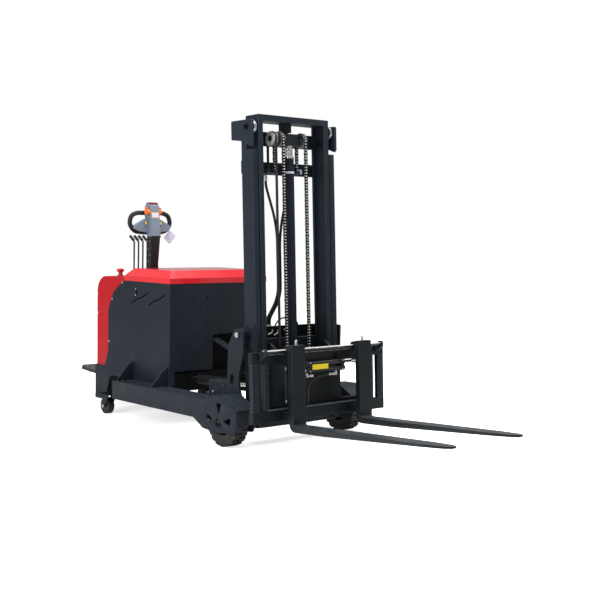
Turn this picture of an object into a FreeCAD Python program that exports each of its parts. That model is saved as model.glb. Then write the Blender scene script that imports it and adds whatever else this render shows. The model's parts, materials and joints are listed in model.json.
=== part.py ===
import FreeCAD, Part
import math
import os

# Rough terrain stacker: a battery stacker with two straddle legs, big front wheels, a tilting
# two-stage mast, a sliding fork frame, a steered drive wheel and a fold-up rear platform.
# Millimetres. +X towards the fork tips, +Y to the left, +Z up.
# Sizes below are measured from a datum line across the truck. The saved shapes are moved along X
# so that the origin is under the middle of the whole length.

V = FreeCAD.Vector
os.makedirs("parts", exist_ok=True)

# Front wheels
tyre_radius = 140
tyre_width = 86
lug_depth = 7
lug_count = 18
lug_gap = 13
rim_radius = 82
axle_x = 20
axle_radius = 20
wheel_gap = 18
shaft_play = 0.06

# Straddle legs and their wheel housings
leg_outer = 532
leg_width = 142
leg_top = 262
leg_bottom = 144
leg_rear = -1122
leg_wall = 8
plate = 10
housing_front = 191
housing_rear = -155
housing_crown = 300

# Mast mounts that stand on the legs
mount_plate = 14
pivot_x = 12
pivot_z = 647
pivot_radius = 20
boss_radius = 36
mount_box_rear = -260
mount_box_front = -85
mount_box_top = 355
mount_box_depth = 70

# Body
body_front = -680
body_top = 905
body_seam = 250
body_rear = -1568
sheet = 6
lid_rear = -1200
lid_skirt = 34
lid_rise = 48
lid_inset = 46
lid_gap = 6
cowl_rear = -1555
cowl_top = 930
cowl_bottom = 320
cowl_round = 110
skirt_bottom = 87
notch_top = 579
notch_right = -50
panel_bottom = 351
post_width = 40
hose_block_depth = 54
hose_block_height = 40
pan_thick = 8
beam_depth = 40

# Battery
battery_front = -745
battery_length = 380
battery_play = 64
battery_top = 840

# Steered drive wheel
drive_x = -1420
drive_radius = 115
drive_width = 75
motor_radius = 75
motor_top = 500

# Castors
castor_x = -1355
castor_offset = 15
castor_radius = 55
castor_width = 44
castor_trail = 30
castor_plate_z = 138

# Rear platform
platform_top = 236
platform_thick = 12
platform_hinge_x = -1605
platform_hinge_z = 210
platform_setback = 20
platform_rear = -2165
platform_shoulder = -2028
platform_front_half = 298
platform_shoulder_half = 229
platform_rear_half = 137
platform_knuckle_y = 165

# Tiller and controls
tiller_x = -1457
tiller_z = 968
tiller_boss = 27
column_low_half = 32
column_top_half = 39
column_top_x = -1446
column_top_z = 1200
head_top_x = -1468
head_top_z = 1433
handle_half = 172
handle_radius = 16
lever_x = -1355
lever_first_y = -114
lever_pitch = 35
lever_count = 4
lever_top = 1163
stop_x = -1445
stop_inset = 120

# Mast
mast_back_tilt = 3
mast_side_gap = 54
outer_rear = -4
outer_front = 100
outer_foot = 107
outer_flange_width = 36
inner_rear = -17
inner_front = 102
inner_foot = 125
inner_top = 1933
sheave_drop = 133
inner_flange_width = 35
rail_web = 12
rail_flange = 14
cross_gap = 7
cross_thick = 18
cross_lap = 12
stroke = 1250
lower_plate_low = 230
lower_plate_high = 684
foot_bar_high = 180
guide_x = 62
guide_radius = 42
cylinder_x = 50
barrel_radius = 28
rod_radius = 21.5
sheave_x = 60
sheave_radius = 42
sheave_y = 88
hose_sheave_y = -142
hose_groove = 30
anchor_plate = 22
chain_width = 17
chain_thick = 12

# Carriage, sliding fork frame and forks
carriage_bar_rear = 222
carriage_bar_front = 245
carriage_half = 398
carriage_top = 530
carriage_low = 190
carriage_bar_height = 56
roller_radius = 39
frame_front = 301
frame_thick = 36
frame_half = 520
frame_upper_top = 558
frame_lower_bottom = 158
frame_bar_height = 68
slide_gap = 0.4
fork_front = 405
fork_thick = 35
fork_width = 98
fork_y = 264
fork_top = 592
fork_bottom = 101
fork_length = 1150
fork_tip_thick = 12
fork_tip_width = 62
hang_shaft_x = 339
hang_shaft_z = 560
hang_shaft_radius = 10
spreader_x = 336
spreader_low_z = 438
spreader_pitch = 34
spreader_half = 150
spreader_rod_radius = 8.5

# Tilt cylinders
tilt_inset = 122
tilt_rear_x = -655
tilt_rear_z = 300
tilt_front_x = -75
tilt_front_z = 330
tilt_barrel_radius = 30
tilt_rod_radius = 15
lug_thick = 12
lug_clear = 20
tilt_pin_radius = 9
rod_eye_play = 1.6

# Hoses
hose_radius = 8
hose_pitch = 20
hose_first_y = -38
port_pitch = 22
port_first_y = -164
port_z = 570
port_block_depth = 20


def point_on(plane, a, b, level):
    if plane == "xz":
        return V(a, level, b)
    if plane == "yz":
        return V(level, a, b)
    return V(a, b, level)


def outline(plane, corners, level):
    """Face from corners (a, b, radius): straight edges joined by arcs of those radii."""
    flat = [V(a, b, 0) for a, b, radius in corners]
    count = len(corners)
    starts = []
    middles = []
    ends = []
    for i in range(count):
        corner = flat[i]
        radius = corners[i][2]
        before = (flat[i - 1] - corner)
        after = (flat[(i + 1) % count] - corner)
        before.normalize()
        after.normalize()
        if radius <= 0:
            starts.append(corner)
            middles.append(None)
            ends.append(corner)
            continue
        angle = before.getAngle(after)
        reach = radius / math.tan(angle / 2)
        bisector = before + after
        bisector.normalize()
        centre = corner + bisector * (radius / math.sin(angle / 2))
        starts.append(corner + before * reach)
        middles.append(centre - bisector * radius)
        ends.append(corner + after * reach)
    edges = []
    for i in range(count):
        start = point_on(plane, starts[i].x, starts[i].y, level)
        end = point_on(plane, ends[i].x, ends[i].y, level)
        if middles[i] is not None:
            middle = point_on(plane, middles[i].x, middles[i].y, level)
            edges.append(Part.Arc(start, middle, end).toShape())
        nearby = starts[(i + 1) % count]
        following = point_on(plane, nearby.x, nearby.y, level)
        if (following - end).Length > 0.001:
            edges.append(Part.LineSegment(end, following).toShape())
    return Part.Face(Part.Wire(edges))


def prism(plane, corners, low, high):
    """Solid from an outline, from one level to another across its plane."""
    full = [tuple(c) if len(c) == 3 else (c[0], c[1], 0) for c in corners]
    return outline(plane, full, low).extrude(point_on(plane, 0, 0, high - low))


def block(x0, x1, y0, y1, z0, z1):
    return Part.makeBox(x1 - x0, y1 - y0, z1 - z0, V(x0, y0, z0))


def rod_x(x0, x1, y, z, radius):
    return Part.makeCylinder(radius, x1 - x0, V(x0, y, z), V(1, 0, 0))


def rod_y(x, z, radius, y0, y1):
    return Part.makeCylinder(radius, y1 - y0, V(x, y0, z), V(0, 1, 0))


def rod_z(x, y, radius, z0, z1):
    return Part.makeCylinder(radius, z1 - z0, V(x, y, z0), V(0, 0, 1))


def bar(start, end, radius):
    """Round bar between two points."""
    along = end - start
    return Part.makeCylinder(radius, along.Length, start, along)


def joined(shapes):
    whole = shapes[0].fuse(shapes[1:])
    return whole.removeSplitter()


def group(shapes):
    return Part.makeCompound(shapes)


def other_side(shape):
    return shape.mirror(V(0, 0, 0), V(0, 1, 0))


def hose(points, radius, share=0.45):
    """Tube along straight runs joined by tangent arcs as large as the runs allow."""
    path = [V(*p) for p in points]
    edges = []
    radii = []
    last = path[0]
    for i in range(1, len(path) - 1):
        before = path[i - 1] - path[i]
        after = path[i + 1] - path[i]
        run = min(before.Length, after.Length) * share
        before.normalize()
        after.normalize()
        angle = before.getAngle(after)
        arc_radius = run * math.tan(angle / 2)
        radii.append(round(arc_radius))
        bisector = before + after
        bisector.normalize()
        centre = path[i] + bisector * (arc_radius / math.sin(angle / 2))
        start = path[i] + before * run
        end = path[i] + after * run
        edges.append(Part.LineSegment(last, start).toShape())
        edges.append(Part.Arc(start, centre - bisector * arc_radius, end).toShape())
        last = end
    edges.append(Part.LineSegment(last, path[-1]).toShape())
    wire = Part.Wire(edges)
    ring = Part.Wire([Part.makeCircle(radius, path[0], path[1] - path[0])])
    tube = wire.makePipeShell([ring], True, True)
    wanted = wire.Length * math.pi * radius * radius
    print("tube", round(wire.Length), "mm long, volume ratio", round(tube.Volume / wanted, 4),
          "radii", radii)
    return tube


# Places that follow from the sizes above
leg_inner = leg_outer - leg_width
mount_outer = leg_inner
mount_inner = leg_inner - mount_plate
body_half = leg_inner
castor_y = body_half + castor_offset
battery_half = body_half - sheet - battery_play
stop_y = -body_half + stop_inset
outer_half = mount_inner - mast_side_gap
inner_half = outer_half - rail_web - 33
tilt_y = outer_half - tilt_inset
sheave_z = inner_top - sheave_drop
sheave_bar_low = sheave_z - 38
sheave_bar_high = sheave_z + 47
guide_z = inner_top - 73
outer_web_top = inner_top - 53
outer_flange_top = inner_top - 206
barrel_top = inner_top - 243
upper_bar_high = inner_top - 263
upper_bar_low = upper_bar_high - 75
strand_foot = upper_bar_low + 27
hose_block_low = notch_top + 21

# Where the whole truck sits along X
tilt = math.radians(mast_back_tilt)
tip_reach = (fork_front + fork_length - pivot_x) * math.cos(tilt)
tip_drop = pivot_z - fork_bottom - (fork_thick - fork_tip_thick)
fork_tip_x = pivot_x + tip_reach + tip_drop * math.sin(tilt)
origin_shift = -(fork_tip_x + platform_rear) / 2


def save(name, shape):
    """Writes a shape that stands as it is drawn."""
    placed = shape.copy()
    placed.translate(V(origin_shift, 0, 0))
    placed.exportStep("parts/" + name + ".step")


def save_tilted(name, shape):
    """Writes a shape of the mast, drawn upright, leaned back about the mast pins."""
    leaned = shape.copy()
    leaned.rotate(V(pivot_x, 0, pivot_z), V(0, 1, 0), -mast_back_tilt)
    save(name, leaned)


# Derived places
wheel_inner = leg_inner + plate + wheel_gap
wheel_outer = wheel_inner + tyre_width
housing_profile = [
    (housing_rear, leg_top), (-106, leg_top), (-42, housing_crown - 2), (57, housing_crown),
    (housing_front - 1, 231), (housing_front, 143, 12), (169, 96, 18), (-26, 83, 60),
    (-132, 93, 20), (-203, 132, 10), (-228, leg_bottom), (housing_rear, leg_bottom)]
lid_half = body_half + 3
lid_front = body_front + 3
lid_bottom = body_top + lid_gap
lid_lip_top = lid_bottom + lid_skirt
lid_top = lid_lip_top + lid_rise


def leg():
    """Left leg: square tube, wheel housing plates and the folded cover over the wheel."""
    tube = block(leg_rear, housing_rear, leg_inner, leg_outer, leg_bottom, leg_top)
    hollow = block(leg_rear + leg_wall, housing_rear, leg_inner + leg_wall, leg_outer - leg_wall,
                   leg_bottom + leg_wall, leg_top - leg_wall)
    outer = prism("xz", housing_profile, leg_outer - plate, leg_outer)
    inner = prism("xz", housing_profile, leg_inner, leg_inner + plate)
    holes = []
    # corners of the three windows round the axle, as x and z
    windows = [[(-3, 254), (47, 259), (24, 188)], [(-90, 186), (-92, 141), (-27, 158)],
               [(135, 186), (132, 138), (62, 157)]]
    for window in windows:
        holes.append(prism("xz", [(x, z, 5) for x, z in window], leg_outer - plate, leg_outer))
    outer = outer.cut(group(holes))
    top = [(housing_rear, leg_top), (-106, leg_top), (-42, housing_crown - 2),
           (57, housing_crown), (housing_front - 1, 231), (housing_front, 143)]
    under = [(housing_front - leg_wall, 143), (housing_front - leg_wall - 1, 226),
             (57 - 3, housing_crown - leg_wall), (-39, housing_crown - leg_wall - 2),
             (-103, leg_top - leg_wall), (housing_rear, leg_top - leg_wall)]
    cover = prism("xz", top + under, leg_inner + plate, leg_outer - plate)
    shape = joined([tube.cut(hollow), outer, inner, cover])
    stub = rod_y(axle_x, tyre_radius, axle_radius, leg_inner, leg_outer)
    head = rod_y(axle_x, tyre_radius, axle_radius - 4, leg_outer - 0.5, leg_outer)
    return joined([shape, stub, head])


def tyre():
    """Left front tyre: lugs from both shoulders round a solid band."""
    middle = (wheel_inner + wheel_outer) / 2
    band = rod_y(axle_x, tyre_radius, tyre_radius, wheel_inner, wheel_outer)
    bore = rod_y(axle_x, tyre_radius, rim_radius, wheel_inner - 1, wheel_outer + 1)
    cuts = []
    for i in range(lug_count):
        for side in (0, 1):
            turn = (i + 0.5 + side * 0.5) * 360 / lug_count
            y0 = middle - 8 if side == 0 else wheel_inner - 2
            y1 = wheel_outer + 2 if side == 0 else middle + 8
            low = tyre_radius - lug_depth
            gap = block(-lug_gap / 2, lug_gap / 2, y0, y1, low, tyre_radius + 5)
            gap.rotate(V(0, 0, 0), V(0, 1, 0), 180 + turn)
            gap.translate(V(axle_x, 0, tyre_radius))
            cuts.append(gap)
    return band.cut(bore).cut(group(cuts))


def hub():
    """Left front wheel disc and its bearing barrel, running on the stub axle."""
    middle = (wheel_inner + wheel_outer) / 2
    rim = rod_y(axle_x, tyre_radius, rim_radius, wheel_inner + 3, wheel_outer - 3)
    inside = rod_y(axle_x, tyre_radius, rim_radius - 8, wheel_inner + 2, wheel_outer - 2)
    disc = rod_y(axle_x, tyre_radius, rim_radius - 4, middle - 7, middle + 7)
    barrel = rod_y(axle_x, tyre_radius, axle_radius + 16, wheel_inner - 4, wheel_outer + 4)
    bore = rod_y(axle_x, tyre_radius, axle_radius + shaft_play, wheel_inner - 5, wheel_outer + 5)
    return joined([rim.cut(inside), disc, barrel]).cut(bore)


def mast_mount():
    """Left mast mount: upright plate with its pin, and the box that braces it on the leg."""
    upright = [(-20, pivot_z + 31, 6), (63, pivot_z + 28, 6), (62, 529, 60), (28, 424, 60),
               (26, 346, 40), (48, 280), (48, 215), (-95, 215), (mount_box_front, 363),
               (-77, 580, 40)]
    wall = prism("xz", upright, mount_inner, mount_outer)
    slot = prism("xz", [(-54, 348, 15), (-22, 348, 15), (-22, 412, 15), (-54, 412, 15)],
                 mount_inner - 1, mount_outer + 1)
    box = block(mount_box_rear, mount_box_front, mount_inner - mount_box_depth + mount_plate,
                mount_outer, leg_top - 40, mount_box_top)
    inside = block(mount_box_rear - 1, mount_box_front + 1,
                   mount_inner - mount_box_depth + mount_plate + leg_wall,
                   mount_outer - leg_wall, leg_top - 41, mount_box_top - leg_wall)
    pin = rod_y(pivot_x, pivot_z, pivot_radius, outer_half + 9, mount_outer + 6)
    return joined([wall.cut(slot), box.cut(inside), pin])


def gussets():
    """Four upright gussets between the leg tops and the body sides."""
    shape = [(leg_outer - 12, leg_top), (body_half, leg_top), (body_half, 385),
             (leg_outer - 102, 360)]
    plates = []
    for x in (-1104, -706):
        left = prism("yz", shape, x, x + plate)
        plates.append(left)
        plates.append(other_side(left))
    return group(plates)


def base_frame():
    """Welded base under the body: pan, cross beams, castor carriers and tilt cylinder lugs."""
    pan = block(leg_rear, body_front - sheet, -leg_inner, leg_inner, leg_top - pan_thick, leg_top)
    rear = block(body_rear + sheet, leg_rear, -body_half + sheet, body_half - sheet,
                 leg_top - pan_thick, leg_top)
    beam_low = leg_top - beam_depth
    front_beam = block(body_front - sheet - 34, body_front - sheet, -leg_inner, leg_inner,
                       beam_low, leg_top)
    front_sill = block(body_front - sheet - 34, body_front - sheet, -body_half + sheet,
                       body_half - sheet, leg_top, leg_top + 76)
    rear_beam = block(leg_rear, leg_rear + 60, -leg_inner, leg_inner, beam_low, leg_top)
    shapes = [pan, rear, front_beam, front_sill, rear_beam]
    for side in (1, -1):
        carrier = block(castor_x - 32, castor_x + 32, body_half - 55, body_half - sheet - 1,
                        castor_plate_z + 8, leg_top - pan_thick)
        foot = block(castor_x - 45, castor_x + 45, body_half - 55, castor_y + 48, castor_plate_z,
                     castor_plate_z + 8)
        both = joined([carrier, foot])
        shapes.append(both if side > 0 else other_side(both))
        for edge in (-lug_clear - lug_thick, lug_clear):
            lug = prism("xz", [(body_front - sheet, tilt_rear_z - 26),
                               (tilt_rear_x + 18, tilt_rear_z - 18, 17),
                               (tilt_rear_x + 18, tilt_rear_z + 18, 17),
                               (body_front - sheet, tilt_rear_z + 26)],
                        side * tilt_y + edge, side * tilt_y + edge + lug_thick)
            shapes.append(lug)
        shapes.append(rod_y(tilt_rear_x, tilt_rear_z, tilt_pin_radius,
                            side * tilt_y - lug_clear - lug_thick,
                            side * tilt_y + lug_clear + lug_thick))
    well = rod_z(drive_x, 0, motor_radius + 10, leg_top - pan_thick - 1, leg_top + 1)
    return joined(shapes).cut(well)


def zigzag(points, width, y0, y1):
    """Narrow slot that follows a bent line."""
    runs = []
    for (x0, z0), (x1, z1) in zip(points, points[1:]):
        along = V(x1 - x0, 0, z1 - z0)
        along.normalize()
        side = V(-along.z, 0, along.x) * (width / 2)
        corners = [V(x0, 0, z0) + side, V(x1, 0, z1) + side, V(x1, 0, z1) - side,
                   V(x0, 0, z0) - side]
        runs.append(prism("xz", [(c.x, c.z) for c in corners], y0, y1))
        runs.append(rod_y(x1, z1, width / 2, y0, y1))
    return group(runs)


def side_panel():
    """Left body side with its two bent vent slots."""
    front = body_front - sheet
    edge = [(front, leg_top), (front, body_top), (front - 536, body_top, 30),
            (front - 654, body_top - 73, 90), (front - 719, body_top - 193, 60),
            (front - 717, cowl_bottom + 110, 60), (front - 762, cowl_bottom, 20),
            (body_rear, cowl_bottom), (body_rear, body_seam), (front - 687, body_seam),
            (front - 674, leg_top)]
    panel = prism("xz", edge, body_half - sheet, body_half)
    # both bent slots as distances behind the body front and below the body top
    bends = [[(444, 140), (364, 104), (342, 104), (249, 64)],
             [(242, 143), (166, 107), (146, 108), (55, 68)]]
    slots = []
    for bend in bends:
        line = [(body_front - back, body_top - down) for back, down in bend]
        slots.append(zigzag(line, 8, body_half - sheet - 1, body_half + 1))
    return panel.cut(group(slots))


def front_panel():
    """Front of the body, with a post to each leg and the notch where the hoses come out."""
    low = leg_top
    edge = [(-body_half, low), (-body_half, body_top), (body_half, body_top), (body_half, low),
            (body_half - post_width, low), (body_half - post_width, notch_top),
            (notch_right, notch_top), (notch_right, panel_bottom),
            (-body_half + post_width, panel_bottom), (-body_half + post_width, low)]
    panel = prism("yz", edge, body_front - sheet, body_front)
    holes = []
    # across, below the body top, radius
    for y, down, radius in ((-97, 87, 7), (-98, 161, 6), (-body_half + 30, 54, 6)):
        holes.append(rod_x(body_front - sheet - 1, body_front + 1, y, body_top - down, radius))
    hose_block = block(body_front - sheet - hose_block_depth, body_front - sheet,
                       hose_first_y - 14, hose_first_y + 2 * hose_pitch + 14, hose_block_low,
                       hose_block_low + hose_block_height)
    return joined([panel.cut(group(holes)), hose_block])


def rear_skirt():
    """Lower rear cover: two cheeks cut away at the castors, a back wall and platform lugs."""
    cheek = [(body_rear, skirt_bottom, 8), (-1458, skirt_bottom), (-1425, 122, 60),
             (-1385, body_seam), (body_rear, body_seam)]
    left = prism("xz", cheek, body_half - sheet, body_half)
    back = block(body_rear, body_rear + sheet, -body_half, body_half, skirt_bottom + 20,
                 cowl_bottom)
    back = back.cut(block(body_rear - 1, body_rear + sheet + 1, body_half - sheet,
                          body_half + 1, body_seam, cowl_bottom + 1))
    back = back.cut(block(body_rear - 1, body_rear + sheet + 1, -body_half - 1,
                          -body_half + sheet, body_seam, cowl_bottom + 1))
    shapes = [left, other_side(left), back]
    for middle in (platform_knuckle_y, -platform_knuckle_y):
        for y in (middle - 29, middle + 21):
            shapes.append(block(platform_hinge_x, body_rear, y, y + 8, platform_hinge_z - 14,
                                platform_hinge_z + 14))
            shapes.append(rod_y(platform_hinge_x, platform_hinge_z, 14, y, y + 8))
        shapes.append(rod_y(platform_hinge_x, platform_hinge_z, 6, middle - 29, middle + 29))
    return joined(shapes)


def cowl():
    """Rear cowl: a rounded shell open to the front and below, with a hole for the steering."""
    half = body_half - sheet
    front = lid_rear - 10
    edge = [(front, cowl_bottom), (front, cowl_top), (cowl_rear, cowl_top, cowl_round),
            (cowl_rear, cowl_bottom)]
    inside = [(front + 1, cowl_bottom - 1), (front + 1, cowl_top - sheet),
              (cowl_rear + sheet, cowl_top - sheet, cowl_round - sheet),
              (cowl_rear + sheet, cowl_bottom - 1)]
    shell = prism("xz", edge, -half, half)
    shell = shell.cut(prism("xz", inside, -half + sheet, half - sheet))
    hole = rod_z(drive_x, 0, 76, cowl_top - cowl_round, cowl_top + 1)
    shell = shell.cut(hole)
    bulkhead = block(front, front + sheet, -half, half, leg_top, body_top)
    return joined([shell, bulkhead])


def battery():
    return block(battery_front - battery_length, battery_front, -battery_half, battery_half,
                 leg_top, battery_top)


def lid_shell(inset, lift):
    """Solid of the lid's outside, or of its inside when it is inset."""
    low = Part.makePolygon([V(lid_rear + inset, -lid_half + inset, lid_bottom - lift),
                            V(lid_front - inset, -lid_half + inset, lid_bottom - lift),
                            V(lid_front - inset, lid_half - inset, lid_bottom - lift),
                            V(lid_rear + inset, lid_half - inset, lid_bottom - lift),
                            V(lid_rear + inset, -lid_half + inset, lid_bottom - lift)])
    lip = Part.Face(low).extrude(V(0, 0, lid_skirt + lift - inset * 0.5))
    rise_low = lid_lip_top - inset * 0.5
    wires = []
    for shrink, z in ((inset, rise_low), (inset + lid_inset, lid_top - inset)):
        wires.append(Part.makePolygon([V(lid_rear + shrink, -lid_half + shrink, z),
                                       V(lid_front - shrink, -lid_half + shrink, z),
                                       V(lid_front - shrink, lid_half - shrink, z),
                                       V(lid_rear + shrink, lid_half - shrink, z),
                                       V(lid_rear + shrink, -lid_half + shrink, z)]))
    crown = Part.makeLoft(wires, True, True)
    return joined([lip, crown])


lid_hinge_y = lid_half + 10
lid_hinge_z = lid_bottom - 4
lid_hinges = [-1060, -820]


def lid():
    """Hollow battery lid, hinged along its left edge."""
    shell = lid_shell(0, 0).cut(lid_shell(sheet, 1))
    shapes = [shell]
    for x in lid_hinges:
        leaf = block(x - 14, x + 14, lid_half - sheet, lid_hinge_y, lid_bottom, lid_bottom + 6)
        knuckle = rod_x(x - 14, x + 14, lid_hinge_y, lid_hinge_z, 7)
        bore = rod_x(x - 15, x + 15, lid_hinge_y, lid_hinge_z, 3.5 + shaft_play)
        shapes.append(joined([leaf, knuckle]).cut(bore))
    return joined(shapes)


def lid_hinge_pins():
    """Body halves of the lid hinges with their pins."""
    shapes = []
    for x in lid_hinges:
        ears = []
        for x0 in (x - 31, x + 15):
            ears.append(rod_x(x0, x0 + 16, lid_hinge_y, lid_hinge_z, 7))
            ears.append(block(x0, x0 + 16, body_half, lid_hinge_y, lid_hinge_z - 20,
                              lid_hinge_z))
        ears.append(rod_x(x - 31, x + 31, lid_hinge_y, lid_hinge_z, 3.5))
        shapes.append(joined(ears))
    return group(shapes)


def levers():
    """Row of hydraulic levers on one base, each with a grip bent to the rear."""
    last = lever_first_y - lever_pitch * (lever_count - 1)
    shapes = [block(lever_x - 25, lever_x + 25, last - 20, lever_first_y + 20, cowl_top,
                    cowl_top + 10)]
    for i in range(lever_count):
        y = lever_first_y - lever_pitch * i
        shapes.append(rod_z(lever_x, y, 5, cowl_top + 5, lever_top))
        shapes.append(Part.makeSphere(5, V(lever_x, y, lever_top)))
        grip_end = V(lever_x - 50, y, lever_top + 32)
        shapes.append(bar(V(lever_x, y, lever_top), grip_end, 5))
        start = V(lever_x - 6, y, lever_top + 3.8)
        shapes.append(bar(start, grip_end, 9))
    return joined(shapes)


def stop_button():
    base = rod_z(stop_x, stop_y, 17, cowl_top, cowl_top + 8)
    neck = rod_z(stop_x, stop_y, 10, cowl_top + 7, cowl_top + 32)
    cap = Part.makeCone(12, 24, 16, V(stop_x, stop_y, cowl_top + 25))
    top = rod_z(stop_x, stop_y, 24, cowl_top + 41, cowl_top + 52)
    return joined([base, neck, cap, top])


def drive_unit():
    """Turntable, upright motor and gearbox that hold the drive wheel from its left side."""
    pan_low = leg_top - pan_thick
    table = rod_z(drive_x, 0, 122, pan_low - 16, pan_low - 0.3)
    motor = rod_z(drive_x, 0, motor_radius, pan_low - 16, motor_top)
    gearbox = prism("xz", [(drive_x - 45, drive_radius - 45, 44), (drive_x + 45, drive_radius - 45, 44),
                           (drive_x + 58, pan_low - 10), (drive_x - 58, pan_low - 10)],
                    drive_width / 2 + 6, drive_width / 2 + 56)
    axle = rod_y(drive_x, drive_radius, 22, -drive_width / 2 - 2, drive_width / 2 + 8)
    shaft = rod_z(drive_x, 0, 18, motor_top - 1, cowl_top - 21)
    return joined([table, motor, gearbox, axle, shaft])


def drive_wheel():
    wheel = rod_y(drive_x, drive_radius, drive_radius, -drive_width / 2, drive_width / 2)
    dish = rod_y(drive_x, drive_radius, drive_radius - 30, -drive_width / 2 - 1,
                 -drive_width / 2 + 14)
    bore = rod_y(drive_x, drive_radius, 22 + shaft_play, -drive_width / 2 - 2,
                 drive_width / 2 + 2)
    return wheel.cut(dish).cut(bore)


def steering_head():
    """Turret on the cowl, turning with the drive unit, with the tiller's two ears."""
    disc = rod_z(drive_x, 0, 70, cowl_top - 21, cowl_top + 6)
    shapes = [disc]
    for y0 in (column_low_half + 2, -column_low_half - 14):
        ear = prism("xz", [(tiller_x - 12, cowl_top + 6), (drive_x + 24, cowl_top + 6),
                           (tiller_x + 16, tiller_z + 15, 14), (tiller_x - 16, tiller_z + 15, 14),
                           (tiller_x - 18, tiller_z - 4)], y0, y0 + 12)
        shapes.append(ear)
    shapes.append(rod_y(tiller_x, tiller_z, 9, -column_low_half - 14, column_low_half + 14))
    return joined(shapes)


def ring_wire(x0, x1, half, z, radius):
    corners = [(x0, -half, radius), (x1, -half, radius), (x1, half, radius), (x0, half, radius)]
    return outline("xy", corners, z).OuterWire


def tiller_column():
    """Tapered tiller column on its pivot barrel."""
    barrel = rod_y(tiller_x, tiller_z, tiller_boss, -column_low_half, column_low_half)
    neck = prism("xz", [(tiller_x - 24, tiller_z), (tiller_x + 24, tiller_z),
                        (tiller_x + 26, tiller_z + 34), (tiller_x - 30, tiller_z + 34)],
                 -column_low_half, column_low_half)
    shaft = Part.makeLoft([ring_wire(tiller_x - 32, tiller_x + 28, column_low_half,
                                     tiller_z + 30, 8),
                           ring_wire(column_top_x - 31, column_top_x + 31, column_top_half,
                                     column_top_z, 10)], True, True)
    bore = rod_y(tiller_x, tiller_z, 9 + shaft_play, -column_low_half - 1, column_low_half + 1)
    return joined([barrel, neck, shaft]).cut(bore)


def tiller_head():
    """Control head on the column, leaning back, with a wing to each side of the handle."""
    low_x = column_top_x
    side = column_top_half - 2
    core = prism("xz", [(low_x - 30, column_top_z), (low_x + 32, column_top_z, 8),
                        (head_top_x + 30, head_top_z - 14, 16), (head_top_x + 4, head_top_z, 14),
                        (head_top_x - 36, head_top_z - 20, 20), (low_x - 54, column_top_z + 60)],
                 -side, side)
    wing = [(side - 2, column_top_z + 26), (handle_half - 60, column_top_z + 37, 12),
            (handle_half - 24, column_top_z + 54, 10), (handle_half - 26, column_top_z + 76, 10),
            (side + 32, column_top_z + 116, 20), (side - 2, column_top_z + 128)]
    right = prism("yz", wing, low_x - 44, low_x - 8)
    knob = rod_y(head_top_x + 14, head_top_z - 62, 20, side - 1, side + 23)
    return joined([core, right, other_side(right), knob, other_side(knob)]).cut(tiller_handle())


handle_x = column_top_x - 48


def tiller_handle():
    """Closed handle bow round the head."""
    low = column_top_z + 28
    # one half of the bow from the head's side down to the middle, as y and height over the bottom
    half_bow = [(column_top_half - 8, 136), (handle_half - 62, 136), (handle_half - 18, 118),
                (handle_half, 62), (handle_half - 38, 8), (60, 0)]
    points = [(handle_x, y, low + rise) for y, rise in half_bow]
    points += [(handle_x, -y, low + rise) for y, rise in reversed(half_bow)]
    return hose(points, handle_radius)


def castor_fork():
    """Left castor fork with its swivel post under the carrier and its axle."""
    wheel_x = castor_x - castor_trail
    top = castor_plate_z - 0.3
    crown = rod_z(castor_x, castor_y, 34, top - 9, top)
    shapes = [crown]
    for y0 in (castor_y - castor_width / 2 - 9, castor_y + castor_width / 2 + 4):
        arm = [(castor_x - 30, top - 9), (castor_x - 30, top - 1), (castor_x + 26, top - 1),
               (castor_x + 26, top - 16), (wheel_x + 16, castor_radius - 8, 12),
               (wheel_x - 16, castor_radius - 14, 14), (wheel_x - 18, castor_radius + 12)]
        shapes.append(prism("xz", arm, y0, y0 + 5))
    shapes.append(rod_y(wheel_x, castor_radius, 7, castor_y - castor_width / 2 - 14,
                        castor_y + castor_width / 2 + 14))
    return joined(shapes)


def castor_wheel():
    wheel_x = castor_x - castor_trail
    y0 = castor_y - castor_width / 2
    y1 = castor_y + castor_width / 2
    wheel = rod_y(wheel_x, castor_radius, castor_radius, y0, y1)
    bore = rod_y(wheel_x, castor_radius, 7 + shaft_play, y0 - 1, y1 + 1)
    return wheel.cut(bore)


def platform():
    """Fold-up deck for the driver, on two knuckles at the rear skirt."""
    front = platform_hinge_x - platform_setback
    low = platform_top - platform_thick
    deck = prism("xy", [(front, -platform_front_half), (front, platform_front_half),
                        (platform_shoulder, platform_shoulder_half, 30),
                        (platform_rear, platform_rear_half, 30),
                        (platform_rear, -platform_rear_half, 30),
                        (platform_shoulder, -platform_shoulder_half, 30)], low, platform_top)
    shapes = [deck]
    for y in (platform_knuckle_y, -platform_knuckle_y):
        shapes.append(block(platform_rear + 150, platform_hinge_x, y - 12, y + 12, low - 22, low))
        shapes.append(rod_y(platform_hinge_x, platform_hinge_z, 12, y - 20, y + 20))
        shapes.append(block(front - 30, platform_hinge_x, y - 20, y + 20, low - 12, low))
    whole = joined(shapes)
    for y in (platform_knuckle_y, -platform_knuckle_y):
        whole = whole.cut(rod_y(platform_hinge_x, platform_hinge_z, 6 + shaft_play, y - 21,
                                y + 21))
    return whole


def channel(half, rear, front, low, high, flange_width):
    """Left rail of a mast stage: a channel open towards the middle."""
    web = block(rear, front, half - rail_web, half, low, high)
    back = block(rear, rear + rail_flange, half - flange_width, half, low, high)
    face = block(front - rail_flange, front, half - flange_width, half, low, high)
    return joined([web, back, face])


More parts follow.
